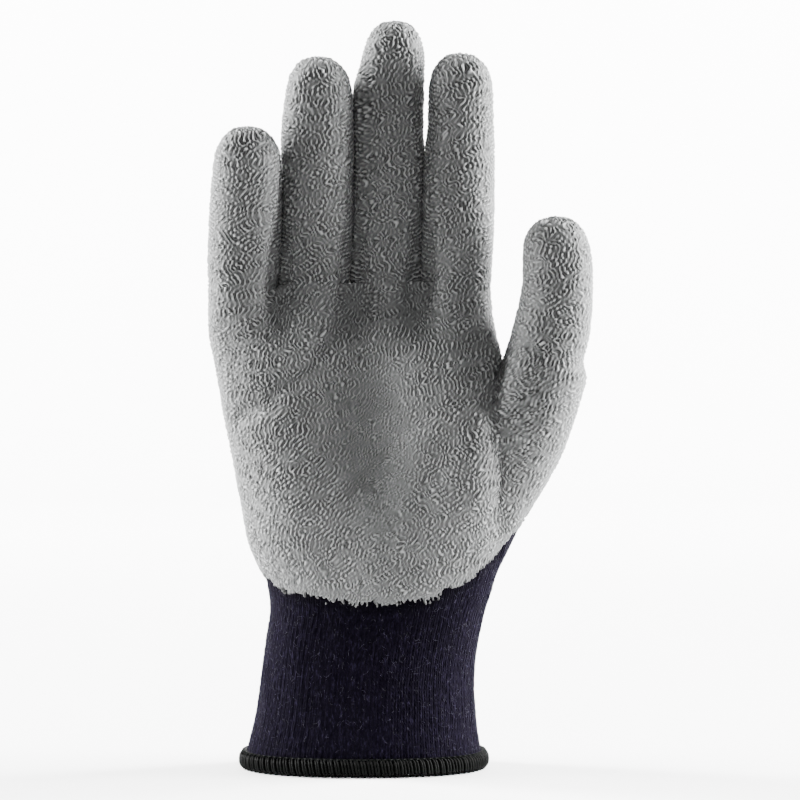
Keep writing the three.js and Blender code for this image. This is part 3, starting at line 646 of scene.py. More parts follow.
# Soft creases of the palm: depth, reach to each side, and a path in shares of the palm's width and length
CREASES = [
    (1.2 * MM, 3.2 * MM, [(-0.5, 0.56), (-0.34, 0.64), (-0.2, 0.74), (-0.11, 0.86), (-0.08, 0.95)]),
    (0.8 * MM, 3.6 * MM, [(0.42, 0.66), (0.24, 0.62), (0.08, 0.52), (-0.06, 0.38)]),
    (0.9 * MM, 4.4 * MM, [(0.4, 0.64), (0.28, 0.52), (0.2, 0.36), (0.15, 0.16)]),
]


CREASE_FRONT = 6 * MM  # in front of the middle plane, over which the creases deepen
CREASE_FACING = (0.3, 0.8)  # how squarely the palm has to face forward for them


def crease_depth(x, z):
    """How deep the creases are at places on the palm: a soft bell across each crease's nearest stretch."""
    total = 0
    spots = np.stack([x, z - CUFF_LENGTH], -1)
    for depth, reach, path in CREASES:
        path = np.array(path) * [KNUCKLE_WIDTH, PALM_LENGTH]
        nearest = np.full(x.shape, FAR)
        for a, b in zip(path[:-1], path[1:]):
            t = np.clip(((spots - a) @ (b - a)) / ((b - a) @ (b - a)), 0, 1)
            nearest = np.minimum(nearest, np.linalg.norm(spots - a - t[:, None] * (b - a), axis=1))
        total = total + depth * np.exp(-((nearest / reach) ** 2))
    return total


class Surface:
    """The smooth outer face of the knit, ready to be sampled at any fineness."""

    def __init__(self):
        net = build_net()
        self.quads = np.concatenate(net.quads)
        self.places = np.concatenate(net.places)
        self.owners = np.array(net.owners)
        points = through(np.concatenate(net.points), self.quads)
        for level in range(LEVELS):
            points = refined(points, self.quads, 2**level)
        self.grid = lattice(self.quads, 2**LEVELS)
        fine = quads_of(self.grid)
        out = normals_of(points[:, :3], fine)
        palm_side = smooth(0, CREASE_FRONT, -points[:, 1]) * smooth(*CREASE_FACING, -out[:, 1])
        dent = crease_depth(points[:, 0], points[:, 2]) * palm_side
        points[:, :3] -= out * dent[:, None]
        out = normals_of(points[:, :3], fine)
        self.data = np.concatenate([points, out], -1)

    def patch(self, faces, cuts):
        """Samples some cage faces: grid ids, a row of data and a direction for each point, and places."""
        quads = np.unique(self.quads[faces], return_inverse=True)[1].reshape(-1, 4)
        grid = lattice(quads, cuts)
        at = np.arange(cuts + 1) / cuts * 2**LEVELS
        low = np.minimum(at.astype(int), 2**LEVELS - 1)
        part = at - low
        fine = self.data[self.grid[faces]]
        fine = mix(fine[:, low], fine[:, low + 1], part[:, None, None])
        fine = mix(fine[:, :, low], fine[:, :, low + 1], part[:, None])
        data = np.empty((grid.max() + 1, fine.shape[-1]))
        data[grid] = fine
        s, t = np.meshgrid(np.linspace(0, 1, cuts + 1), np.linspace(0, 1, cuts + 1), indexing="ij")
        weights = np.stack([(1 - s) * (1 - t), s * (1 - t), s * t, (1 - s) * t], -1)
        places = np.einsum("ijc,fcd->fijd", weights, self.places[faces])
        return grid, data, unit(data[:, 5:8]), places


def sides_of(grid):
    """The ids along the four sides of every face, each in the face's own direction."""
    return np.stack([grid[:, :, 0], grid[:, -1, :], grid[:, ::-1, -1], grid[:, 0, ::-1]], 1)


def fine_waves(places, pitch, count, seed):
    """A sum of plane waves of one length in random directions, with a mean square of one."""
    rng = np.random.default_rng(seed)
    ways = unit(rng.normal(size=(count, 3))) * TAU / pitch
    phases = rng.uniform(0, TAU, count)
    total = np.zeros(len(places))
    for way, phase in zip(ways, phases):
        total += np.cos(places @ way + phase)
    return total * np.sqrt(2 / count)


WORM_TURN = 1.2  # how far the waves of the wrinkles turn from level, in radians


def worm_phase(points, out, pitch, count, seed):
    """Waves that run one way, more or less, so that their crests make short winding worms: the phase and
    the strength of sum(weight exp(i (way . point + phase))). The ways lie in the planes across y, x and z,
    and the weight is the square of the surface's direction along that axis."""
    rng = np.random.default_rng(seed)
    total = np.zeros(len(points), complex)
    for across, weight in zip(((0, 2), (1, 2), (0, 1)), (out[:, 1], out[:, 0], out[:, 2])):
        turn = rng.uniform(-WORM_TURN, WORM_TURN, count)
        ways = np.stack([np.cos(turn), np.sin(turn)]) * TAU / pitch
        phases = points[:, across] @ ways + rng.uniform(0, TAU, count)
        total += np.exp(1j * phases).sum(1) * weight**2
    return np.angle(total), np.abs(total) / np.sqrt(count)


def coated(data):
    """How far inside the coat's edge a point lies: above the heel's curve and in front of the side edges,
    with a soft corner between them, or near a fingertip."""
    x, z, behind, from_tip = data[:, 0], data[:, 2], data[:, 3], data[:, 4]
    edge = sample(HEEL_EDGE, "x", x / KNUCKLE_WIDTH)["z"] * PALM_LENGTH
    heel = (edge + CUFF_LENGTH - z) / COAT_CORNER_RADIUS
    side = (behind - COAT_WRAP) / COAT_CORNER_RADIUS
    return np.maximum(-COAT_CORNER_RADIUS * np.logaddexp(heel, side), COAT_TIP - from_tip)


def new_mesh(name, points, faces, normals=None, uv=None, attributes=()):
    """A mesh object from arrays: faces is a list of arrays of one corner count each."""

    def fill(rows, key, values, kind=np.float32):
        rows.foreach_set(key, np.asarray(values, kind).ravel())

    mesh = bpy.data.meshes.new(name)
    corners = np.concatenate([block.ravel() for block in faces])
    totals = np.concatenate([np.full(len(block), block.shape[1]) for block in faces])
    mesh.vertices.add(len(points))
    fill(mesh.vertices, "co", points)
    mesh.loops.add(len(corners))
    fill(mesh.loops, "vertex_index", corners, np.int32)
    mesh.polygons.add(len(totals))
    fill(mesh.polygons, "loop_start", np.cumsum(totals) - totals, np.int32)
    mesh.update(calc_edges=True)
    fill(mesh.polygons, "use_smooth", np.ones(len(totals)), bool)
    if uv is not None:
        fill(mesh.uv_layers.new(name="knit").uv, "vector", uv)
    for label, values in attributes:
        fill(mesh.attributes.new(label, "FLOAT", "POINT").data, "value", values)
    if normals is not None:
        mesh.normals_split_custom_set_from_vertices(np.asarray(normals, np.float32))
    obj = bpy.data.objects.new(name, mesh)
    bpy.context.scene.collection.objects.link(obj)
    return obj


def settle(obj, material, slot, *nodes):
    """Gives a piece its material and its body, and hides the nodes it stands for. The slot is not used."""
    obj.data.materials.append(material)
    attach(obj, "root")
    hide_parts(*nodes)
    return obj


class Wire:
    """A node's output that takes part in Python arithmetic: each step adds its own Math node."""

    def __init__(self, finish, socket):
        self.finish, self.socket = finish, socket

    def math(self, operation, *values):
        return self.finish.node("ShaderNodeMath", {"operation": operation}, self, *values)

    def __add__(self, other):
        return self.math("ADD", other)

    def __sub__(self, other):
        return self.math("SUBTRACT", other)

    def __mul__(self, other):
        return self.math("MULTIPLY", other)

    def __rsub__(self, other):
        return self.finish.node("ShaderNodeMath", {"operation": "SUBTRACT"}, other, self)

    __radd__ = __add__
    __rmul__ = __mul__

    def clamp(self, low=0.0, high=1.0):
        return self.math("MAXIMUM", low).math("MINIMUM", high)

    def step(self, low, high):
        """Zero below low, one above high, and a soft rise between them."""
        settings = {"interpolation_type": "SMOOTHSTEP"}
        return self.finish.node("ShaderNodeMapRange", settings, self, low, high, 0.0, 1.0)


class Finish:
    """A material under construction."""

    def __init__(self, name):
        self.material = bpy.data.materials.new(name)
        self.material.use_nodes = True
        self.tree = self.material.node_tree
        self.shader = self.tree.nodes["Principled BSDF"]

    def feed(self, socket, value):
        """Links a wire to a socket, or sets a number or colour on it."""
        if isinstance(value, Wire):
            self.tree.links.new(value.socket, socket)
        else:
            socket.default_value = value

    def node(self, kind, settings, *values, output=0, **named):
        """Adds a node: its settings first, then its inputs by order or by name, as numbers or wires."""
        made = self.tree.nodes.new(kind)
        for key, value in settings.items():
            setattr(made, key, value)
        for key, value in [*enumerate(values), *named.items()]:
            self.feed(made.inputs[key if isinstance(key, int) else key.replace("_", " ")], value)
        return Wire(self, made.outputs[output])

    def place(self):
        return self.node("ShaderNodeTexCoord", {}, output="Object")

    def attribute(self, name):
        return self.node("ShaderNodeAttribute", {"attribute_name": name}, output="Fac")

    def noise(self, scale, detail=2.0, roughness=0.5, at=None):
        at = at or self.place()
        return self.node(
            "ShaderNodeTexNoise", {}, Vector=at, Scale=scale, Detail=detail, Roughness=roughness, output=0
        )

    def mixed(self, factor, low, high):
        """A colour between two others."""
        low, high = (end if isinstance(end, Wire) else (*end, 1.0) for end in (low, high))
        made = self.tree.nodes.new("ShaderNodeMix")
        made.data_type = "RGBA"
        for socket, value in zip([made.inputs[0], made.inputs[6], made.inputs[7]], [factor, low, high]):
            self.feed(socket, value)
        return Wire(self, made.outputs[2])

    def bump(self, height, distance, strength):
        return self.node("ShaderNodeBump", {}, Strength=strength, Distance=distance, Height=height)

    def surface(self, **inputs):
        """Sets the shader's own sockets, by numbers or by wires."""
        for key, value in inputs.items():
            self.feed(self.shader.inputs[key.replace("_", " ")], value)
        return self.material


def length_property(name, description, default):
    return FloatProperty(name=name, description=description, default=default, unit="LENGTH")


def power_property(name, description, default):
    return FloatProperty(name=name, description=description, default=default, unit="POWER")


def colour_property(name, description, default):
    return FloatVectorProperty(name=name, description=description, default=default, subtype="COLOR")


def count_property(name, description, default):
    return IntProperty(name=name, description=description, default=default)


class KnitSizes(PropertyGroup):
    wale_height: length_property("Wale height", "How far a column of stitches stands out", 0.075 * MM)
    course: length_property("Course", "Height of one row of stitches", 1.35 * MM)
    colour: colour_property("Yarn", "Colour of the dark yarn", (0.0011, 0.0006, 0.0028))
    fleck: colour_property("Fleck", "Colour of the light fibres in the yarn", (0.015, 0.012, 0.026))
    hairs: count_property("Hairs", "Loose fibres that stand out of the knit", 5600)
    hair_length: length_property("Hair length", "Length of the longest loose fibre", 1.9 * MM)


class LatexSizes(PropertyGroup):
    pitch: length_property("Wrinkle pitch", "Distance from one wrinkle of the latex to the next", 1.32 * MM)
    depth: length_property("Wrinkle depth", "Height of a wrinkle's top above the crease beside it", 0.46 * MM)
    palm_cuts: count_property("Palm cells", "Cells of the coat across one column of the palm", 14)
    finger_cuts: count_property("Finger cells", "Cells of the coat across one column of a finger", 16)
    colour: colour_property("Latex", "Colour of the latex on top of its wrinkles", (0.26, 0.266, 0.264))
    # The crease colour is painted shade, far darker than the latex itself.
    crease_shade: colour_property("Crease", "Colour of the latex in the creases", (0.008, 0.0084, 0.0084))


class HemSizes(PropertyGroup):
    pitch: length_property("Stitch pitch", "Distance from one pair of overlock threads to the next", 2.1 * MM)
    thread: length_property("Thread", "Radius of an overlock thread", 0.36 * MM)
    colour: colour_property("Thread colour", "Colour of the overlock thread", (0.0005, 0.0008, 0.0006))


class StageSizes(PropertyGroup):
    camera_distance: length_property("Camera distance", "From the camera to the glove's middle plane", 0.75)
    view_width: length_property("View width", "Width of the picture at the glove's middle plane", 0.26456)
    left_power: power_property("Left light", "Power of the softbox at the glove's left", 16.5)
    right_power: power_property("Right light", "Power of the softbox at the glove's right", 24.0)
    front_power: power_property("Front light", "Power of the softbox over the camera", 3.3)
    wall_power: power_property("Wall light", "Power of each light on the wall behind", 760.0)
    fill: FloatProperty(name="Fill", description="Strength of the light from all round", default=0.135)


FIBRE_STRETCH = (1.0, 1.0, 0.3)  # of the fibres' noise, which makes them long and upright
FIBRE_TURN = (0.0, 0.4, 0.0)  # which leans them


def knit_material(sizes):
    """Dark yarn in rows of V-shaped stitches: height is high along each leg of the V, and light fibres stand
    out of it in short flecks.
    Shade is painted into the colour: the yarn is darker in the hollows between the legs, and darker still
    near the coat's edge, under the coat and on the lining, where the shadow attribute lies."""
    finish = Finish("fuzzy_knit")
    uv = finish.node("ShaderNodeUVMap", {"uv_map": "knit"})
    u = finish.node("ShaderNodeSeparateXYZ", {}, uv, output=0)
    v = finish.node("ShaderNodeSeparateXYZ", {}, uv, output=1)
    wobble = finish.noise(160.0, 2.0) - 0.5
    across = ((u + wobble * 0.35 + 0.5).math("FRACT") - 0.5).math("ABSOLUTE")
    up = (v * (1 / sizes.course) - across * 1.3 + wobble * 0.8).math("FRACT")
    leg = (across * TAU).math("SINE")
    strand = (up * np.pi).math("SINE")
    stitch = leg * (strand * 0.6 + 0.4)
    place = finish.place()
    turned = finish.node("ShaderNodeMapping", {}, place, Scale=FIBRE_STRETCH, Rotation=FIBRE_TURN)
    fibres = finish.noise(1500.0, 4.0, 0.7, turned)
    cloud = finish.noise(330.0, 3.0, 0.6)
    height = stitch * 0.6 + fibres * 1.1 + cloud * 0.8
    flecks = fibres.step(0.48, 0.72) * cloud.step(0.25, 0.65)
    worn = finish.noise(60.0, 2.0).step(0.3, 0.75)
    shadow = finish.attribute("shadow")
    # hollow: the yarn at 0.4 of its brightness, painted shade between the stitch legs; worn adds random tone,
    # and the shadow attribute paints shade near and under the coat.
    hollow = tuple(0.4 * c for c in sizes.colour)
    lit_and_worn = (stitch * 0.55 + worn * 0.3) * (1 - shadow)
    yarn = finish.mixed(lit_and_worn, hollow, tuple(sizes.colour))
    colour = finish.mixed(flecks * (0.55 - shadow * 0.5), yarn, tuple(sizes.fleck))
    return finish.surface(
        Base_Color=colour,
        Roughness=0.93,
        Normal=finish.bump(height, 0.35 * MM, 0.9),
        Specular_IOR_Level=0.03,
        Sheen_Weight=0.015,
        Sheen_Roughness=0.5,
        Sheen_Tint=(0.5, 0.38, 0.85, 1.0),
    )


def latex_material(sizes):
    """Matt grey rubber: the wrinkle field of the mesh paints shade into the creases between its light tops,
    with a fine grain over both.
    Where the wrinkles calm, the colour is pulled towards a darker grey: painted shade in the palm's hollow
    and along the coat's edge."""
    finish = Finish("crinkled_latex")
    calm = finish.attribute("calm")
    top = finish.attribute("wrinkle").step(-0.55, 1.15)
    grain = finish.noise(2600.0, 3.0, 0.6)
    cloud = finish.noise(90.0, 3.0, 0.55)
    # Painted shade: where the wrinkles calm, the colour is pulled towards a darker grey, for the shade in the
    # palm's hollow and along the edge.
    shade = (top * (1 - calm * 0.5) + calm * 0.1 + (cloud - 0.5) * 0.2 + (grain - 0.5) * 0.2).clamp()
    colour = finish.mixed(shade, tuple(sizes.crease_shade), tuple(sizes.colour))
    height = top * (1 - calm * 0.7) + grain * 0.16
    return finish.surface(
        Base_Color=colour,
        Roughness=(0.5 + grain * 0.2 + (1 - top) * 0.12),
        Normal=finish.bump(height, 0.22 * MM, 0.8),
        Specular_IOR_Level=0.4,
    )


def thread_material(sizes, name, lighter):
    """Spun thread: fine twisted ridges along the strand and a faint gloss."""
    finish = Finish(name)
    twist = finish.noise(1900.0, 3.0, 0.6)
    base = tuple(lighter * c for c in sizes.colour)
    colour = finish.mixed(twist.step(0.35, 0.8), tuple(0.4 * c for c in base), tuple(2.0 * c for c in base))
    return finish.surface(
        Base_Color=colour,
        Roughness=0.55 + twist * 0.2,
        Normal=finish.bump(twist, 0.2 * MM, 0.7),
        Specular_IOR_Level=0.02 if lighter < 1 else 0.07,
    )


SURFACE = Surface()


# The knit of each kind of piece: cells across one column of the net, wales in it, and the record's slot
KNITS = {
    "knit_wrist": (8, 2, "wrist_knit"),
    "knit_palm": (8, 2, "hand_knit"),
    "knit_finger": (12, 3, "hand_knit"),
}
PLAIN_CUTS = 2  # cells across one column where the knit is a lining or lies under the coat


def side_line(i, side, z):
    """How far a coated finger reaches to one side at each height."""
    t = np.clip((z - STANDS[i][2]) / FINGER["length"][i], 0, 1)
    wide = FINGER["width"][i] * sample(FINGER_SECTIONS, "at", t)["width"] / 2 + SKIN
    return STANDS[i][0] + FINGER["lean"][i] * t + side * wide


# How neighbouring fingers press together: up to a height over the webs, and the left one's share of the way
PRESSED = [(66 * MM, 0.25), (78 * MM, 0.1), (53 * MM, 0.5)]
PRESSED_GAP = -0.7 * MM  # between their sides there
PRESSED_FADE = 0.75  # share of that height from which the press fades
PRESSED_START = (7 * MM, 2 * MM)  # below the webs, where it sets in
PRESSED_REACH = (2.8 * MM, 7 * MM)  # from the line between two fingers, where it fades
PRESSED_FACING = (0.35, 0.95)  # how squarely a side has to face that line
OPEN_GAP = 1.3 * MM  # at least, between the sides farther up
PARTED = 1.5 * MM  # how far the fronts of two fingers stand back from each other beside their web
PARTED_DEPTH = (2 * MM, 7 * MM)  # in front of a finger's middle, where that sets in
PARTED_TOP = (10 * MM, 24 * MM)  # above the webs, where it ends


def pressed(points, out, behind):
    """How far points move sideways so that the coated sides of neighbouring fingers nearly touch low down and
    stand a little apart farther up. In front of their webs they part, so that a dark gap is left."""
    x, z = points[:, 0], points[:, 2]
    move = np.zeros(len(points))
    for i, (top, share) in enumerate(PRESSED):
        left, right = side_line(i, 1, z), side_line(i + 1, -1, z)
        middle = (left + right) / 2
        toward = np.sign(middle - x)
        low = 1 - smooth(PRESSED_FADE * top, top, z - WEB_Z)
        width = np.clip(right - left - PRESSED_GAP, 0, None) * low
        width -= np.clip(OPEN_GAP - right + left, 0, None) * (1 - low)
        front = smooth(*PARTED_DEPTH, -behind) * (1 - smooth(*PARTED_TOP, z - WEB_Z))
        width = width * np.where(toward > 0, share, 1 - share) * (1 - front) - PARTED * front
        facing = smooth(*PRESSED_FACING, out[:, 0] * toward)
        near = 1 - smooth(*PRESSED_REACH, np.abs(x - middle))
        rise = 1 - smooth(*PRESSED_START[::-1], WEB_Z - z)
        move += toward * width * facing * near * rise
    return move


def waves_of(points, rows):
    """Fine waves over points stretched along z, one sum for each row of a table of waves."""
    return [
        strength * fine_waves(points * [1, 1, stretch], pitch, count, seed)
        for strength, stretch, pitch, count, seed in rows.values()
    ]


# Waves of the knit's face. Rows: strength, stretch, wave length, count, seed
KNIT_WAVES = {
    "uneven": (0.4, 0.25, 5 * MM, 24, 11),
    "bands": (0.6, 0.25, 9 * MM, 24, 12),
    "wander": (0.13, 0.25, 4 * MM, 24, 13),
    "fluff": (0.7, 0.6, 1.5 * MM, 36, 14),
}
SHADOW_REACH = (-5 * MM, -1 * MM)  # outside the coat's edge, over which the knit darkens


def face_of_knit(faces, cuts, wales, lift):
    """An outer face of knit with round ridges that wander and fade, on soft bands, with fluff over them:
    lift * (cos(2 pi (wales column + wander)) (1 + uneven) + bands + fluff) along the surface's direction."""
    grid, data, out, places = SURFACE.patch(faces, cuts)
    column = np.empty(len(data))
    column[grid] = places[..., 0]
    uneven, bands, wander, fluff = waves_of(data[:, :3], KNIT_WAVES)
    height = lift * (np.cos(TAU * (wales * column + wander)) * (1 + uneven) + bands + fluff)
    points = data[:, :3] + out * height[:, None]
    points[:, 0] += pressed(data[:, :3], out, data[:, 3])
    quads = quads_of(grid)
    uv = np.stack([small_quads(places[..., 0] * wales), small_quads(places[..., 1])], -1)
    shadow = smooth(*SHADOW_REACH, coated(data))
    return grid, points, normals_of(points, quads), quads, uv.reshape(-1, 2), shadow


def plain_knit(faces, side):
    """The lining, with side -1 and a wall's thickness inside the knit, or plain knit under the coat."""
    grid, data, out, places = SURFACE.patch(faces, PLAIN_CUTS)
    points = data[:, :3] - out * (KNIT_WALL if side < 0 else 0)
    points[:, 0] += pressed(data[:, :3], out, data[:, 3])
    quads, u, v = (small_quads(values)[..., ::side] for values in (grid, places[..., 0], places[..., 1]))
    uv = np.stack([u, v], -1).reshape(-1, 2)
    return grid, points, side * out, quads.reshape(-1, 4), uv, np.ones(len(data))


def rim_fans(faces, near_grid, far_grid, cuts):
    """Triangles that close a wall along its rims, from a fine outer edge to the lining's coarse one."""
    quad = SURFACE.quads[faces]
    ends = np.sort(np.stack([quad, np.roll(quad, -1, axis=1)], -1), axis=-1)
    keys = ends[..., 0] * (SURFACE.quads.max() + 1) + ends[..., 1]
    _, index, count = np.unique(keys, return_inverse=True, return_counts=True)
    rim = count[index.reshape(keys.shape)] == 1
    near, far = sides_of(near_grid)[rim], sides_of(far_grid)[rim]
    ratio = cuts // PLAIN_CUTS
    fans = []
    for q in range(PLAIN_CUTS):
        start, stop = far[:, q], far[:, q + 1]
        for k in range(ratio):
            a, b = near[:, q * ratio + k], near[:, q * ratio + k + 1]
            fans.append(np.stack([b, a, start if k < ratio // 2 else stop], -1))
        fans.append(np.stack([near[:, q * ratio + ratio // 2], start, stop], -1))
    return np.concatenate(fans)


def knit_wall(name, node, cuts, wales, lift):
    """A wall of knit: a fine outer face where it shows, plain knit under the coat, a lining, closed rims."""
    faces = np.flatnonzero(SURFACE.owners == node)
    bare = coated(SURFACE.data)[SURFACE.grid[faces]].min((1, 2)) < COAT_OVERLAP
    grid, *outer = face_of_knit(faces[bare], cuts, wales, lift)
    lining_grid, *lining = plain_knit(faces, -1)
    blocks = [outer, lining]
    if not bare.all():
        blocks.append(plain_knit(faces[~bare], 1)[1:])
    starts = np.cumsum([0] + [len(block[0]) for block in blocks])
    quads = np.concatenate([block[2] + start for block, start in zip(blocks, starts)])
    fans = rim_fans(faces[bare], grid, lining_grid[bare] + starts[1], cuts)
    flat = np.concatenate([block[3] for block in blocks] + [np.zeros((3 * len(fans), 2))])
    points, normals, shadow = (np.concatenate([block[i] for block in blocks]) for i in (0, 1, 4))
    return new_mesh(name, points, [quads, fans], normals, flat, [("shadow", shadow)])


class GLOVE_OT_knit(Operator):
    """Knit the wrist, the palm and the five finger tubes"""

    bl_idname = "glove.knit"
    bl_label = "Knit"

    def execute(self, context):
        sizes = context.scene.glove_knit
        material = knit_material(sizes)
        for node in np.unique(SURFACE.owners):
            kind = "knit_finger" if node.endswith(("finger", "thumb")) else node
            cuts, wales, slot = KNITS[kind]
            piece = node.removeprefix("knit_")
            obj = knit_wall(f"glove_{piece}_knit", node, cuts, wales, sizes.wale_height)
            settle(obj, material, slot, node)
        return {"FINISHED"}


# Waves of the latex: the teeth, bites and drift of its edge, and what breaks and bends its wrinkles
LATEX_WAVES = {
    "teeth": (0.42 * MM, 0.4, 0.95 * MM, 30, 5),
    "bites": (0.45 * MM, 0.4, 2.4 * MM, 30, 7),
    "drift": (0.35 * MM, 1, 11 * MM, 30, 6),
    "breaks": (1, 1, 4.2 * MM, 30, 9),
    "bend": (0.26 * MM, 1, 4.2 * MM, 30, 3),
}
WORMS = [(1, 2), (0.72, 4)]  # two layers of wrinkles, as shares of the pitch, and their seeds
WORM_WAVES = 40
RIDGE = 0.85  # reach of a ridge, in radians of its wave
GROOVE = {"at": 1.95, "reach": 0.55, "depth": 0.55}
CALM_HOLLOW = (0.05, 0.5, 0.17, 0.33)  # place and reach of the bell that calms the palm's hollow
CALM_RIM = (-3 * MM, COAT_WRAP)  # behind a finger's middle, over which the wrinkles calm
CALM_EDGE = (0.8 * MM, 4.5 * MM)  # inside the coat's edge, over which they come up
CALM_SHARES = {"hollow": 0.75, "rim": 0.7, "edge": 0.9}
CALM_DEPTH = 0.6  # share of a wrinkle's depth that full calm takes
WORM_STRENGTH = (0.05, 0.7)  # of the waves' sum, between which a wrinkle comes up
FINER = (0.35, 0.65)  # calm, between which the finer layer takes over
BREAK_RANGE = (-1.2, 0.3)  # of the waves that break wrinkles up
BREAK_LEFT = 0.35  # of a wrinkle's height where it is broken
THICKNESS = (-0.35, 0.85)  # of the coat outside and inside its edge, as shares of SKIN
EDGE = 0.3 * MM  # to each side of the coat's edge, over which it thickens
RIDGE_START = 1 * MM  # inside the edge, over which the wrinkles rise
CUT_MARGIN = 0.5 * MM  # outside the edge, where the skin is cut off


def latex_skin(faces, cuts, sizes):
    """A crinkled skin over some faces of the knit. Its ridges follow the crests of winding waves of phase w,
    between two grooves: height = exp(-(w / RIDGE)^2) - depth exp(-((|w| - at) / reach)^2), with the values
    of GROOVE, and a slower sum of waves breaks them up. They are finer and lower in the hollow of the palm,
    near the sides and along the ragged edge, where the skin thins into the knit."""
    grid, data, out, _ = SURFACE.patch(faces, cuts)
    base = data[:, :3]
    teeth, bites, drift, breaks, bend = waves_of(base, LATEX_WAVES)
    inside = coated(data) + teeth - np.maximum(bites, 0) + drift
    bent = base + bend[:, None]
    hollow = bell(base[:, 0], base[:, 2], *CALM_HOLLOW)
    rim = smooth(*CALM_RIM, data[:, 3])
    edge = 1 - smooth(*CALM_EDGE, inside)
    shares = CALM_SHARES
    calm = np.clip(shares["hollow"] * hollow + shares["rim"] * rim + shares["edge"] * edge, 0, 1)
    layers = []
    for share, seed in WORMS:
        phase, strength = worm_phase(bent, out, share * sizes.pitch, WORM_WAVES, seed)
        off_groove = (np.abs(phase) - GROOVE["at"]) / GROOVE["reach"]
        layer = np.exp(-((phase / RIDGE) ** 2)) - GROOVE["depth"] * np.exp(-(off_groove**2))
        layers.append(layer * smooth(*WORM_STRENGTH, strength))
    wrinkle = mix(*layers, smooth(*FINER, calm))
    wrinkle *= mix(BREAK_LEFT, 1.0, smooth(*BREAK_RANGE, breaks))
    thick = SKIN * mix(*THICKNESS, smooth(-EDGE, EDGE, inside))
    ridge = wrinkle * sizes.depth * (1 - CALM_DEPTH * calm) * smooth(0, RIDGE_START, inside)
    points = base + out * (thick + ridge)[:, None]
    points[:, 0] += pressed(base, out, data[:, 3])
    quads = quads_of(grid)
    outward = normals_of(points, quads)
    quads = quads[inside[quads].max(1) > -CUT_MARGIN]
    used, packed = np.unique(quads, return_inverse=True)
    attributes = [("wrinkle", wrinkle[used]), ("calm", calm[used])]
    return points[used], [packed.reshape(-1, 4)], outward[used], attributes


HEEL_SHARE = 0.45  # of the palm's length, below which the coat is a piece of its own


class GLOVE_OT_latex(Operator):
    """Dip the palm side and the fingertips in crinkled latex"""

    bl_idname = "glove.latex"
    bl_label = "Latex coat"

    def execute(self, context):
        sizes = context.scene.glove_latex
        material = latex_material(sizes)
        grown = coated(SURFACE.data)[SURFACE.grid].max((1, 2)) > -COAT_RAGGED
        middle = SURFACE.data[SURFACE.grid][..., 2].mean((1, 2))
        palm, low = SURFACE.owners == "knit_palm", middle < CUFF_LENGTH + HEEL_SHARE * PALM_LENGTH
        skins = {"heel": (palm & low, sizes.palm_cuts), "palm": (palm & ~low, sizes.palm_cuts)}
        for node in np.unique(SURFACE.owners):
            if node.endswith(("finger", "thumb")):
                skins[node.removeprefix("knit_")] = (SURFACE.owners == node, sizes.finger_cuts)
        for name, (mine, cuts) in skins.items():
            points, quads, normals, attributes = latex_skin(np.flatnonzero(mine & grown), cuts, sizes)
            obj = new_mesh(f"glove_{name}_latex", points, quads, normals, attributes=attributes)
            settle(obj, material, "latex", "latex_coat")
        return {"FINISHED"}


def mouth_curve():
    """The knit's rim at the mouth: points, outward level directions and distances round it."""
    faces = np.flatnonzero(SURFACE.owners == "knit_wrist")[:HAND_RING]
    ring = SURFACE.data[SURFACE.grid[faces][:, :-1, 0].ravel()]
    out = unit(ring[:, 5:8] * [1, 1, 0])
    closed = np.concatenate([ring[:, :3], ring[:1, :3]])
    distance = np.concatenate([[0], np.cumsum(np.linalg.norm(np.diff(closed, axis=0), axis=1))])
    return ring[:, :3], out, distance


def at_mouth(curve, s):
    """A point and its outward direction at distances s round the mouth."""
    ring, out, distance = curve
    s = np.mod(s, distance[-1])
    values = np.concatenate([ring, out], -1)
    values = np.concatenate([values, values[:1]])
    found = np.stack([np.interp(s, distance, column) for column in values.T], -1)
    return found[..., :3], unit(found[..., 3:])


def hem_spot(curve, s, angle, lift):
    """A place on the hem: round a rounded section that wraps the knit's raw edge, lifted off it."""
    point, out = at_mouth(curve, s)
    u, v = oval(angle, SQUARENESS["hem"])
    base = point + out * (HEM_MIDDLE + u * (HEM_DEPTH / 2 + lift))[..., None]
    base[..., 2] = HEM_LOW.z + HEM_HEIGHT / 2 + v * (HEM_HEIGHT / 2 - HEM_INSET + lift)
    return base


def tubes_along(paths, radius, sides):
    """Round tubes along many paths at once: a ring of points square to each path's own direction."""
    along = unit(np.gradient(paths, axis=1))
    reference = np.where(np.abs(along[..., 2:]) < 0.8, [0.0, 0.0, 1.0], [1.0, 0.0, 0.0])
    first = unit(np.cross(along, reference))
    second = np.cross(along, first)
    a = TAU * np.arange(sides) / sides
    ring = first[..., None, :] * np.cos(a)[:, None] + second[..., None, :] * np.sin(a)[:, None]
    return paths[..., None, :] + ring * np.broadcast_to(radius, paths.shape[:2])[..., None, None]


def tube_faces(count, rows, sides, closed):
    """Faces of tubes_along: bands between rings, and flat ends unless the paths are closed."""
    ids = np.arange(count * rows * sides).reshape(count, rows, sides)
    low = ids if closed else ids[:, :-1]
    high = np.roll(ids, -1, 1) if closed else ids[:, 1:]
    quads = np.stack([low, np.roll(low, -1, 2), np.roll(high, -1, 2), high], -1).reshape(-1, 4)
    if closed:
        return [quads]
    return [quads, ids[:, 0, ::-1], ids[:, -1]]


def tube_piece(name, paths, radius, sides, closed=False):
    points = tubes_along(paths, radius, sides)
    return new_mesh(name, points.reshape(-1, 3), tube_faces(*points.shape[:3], closed))


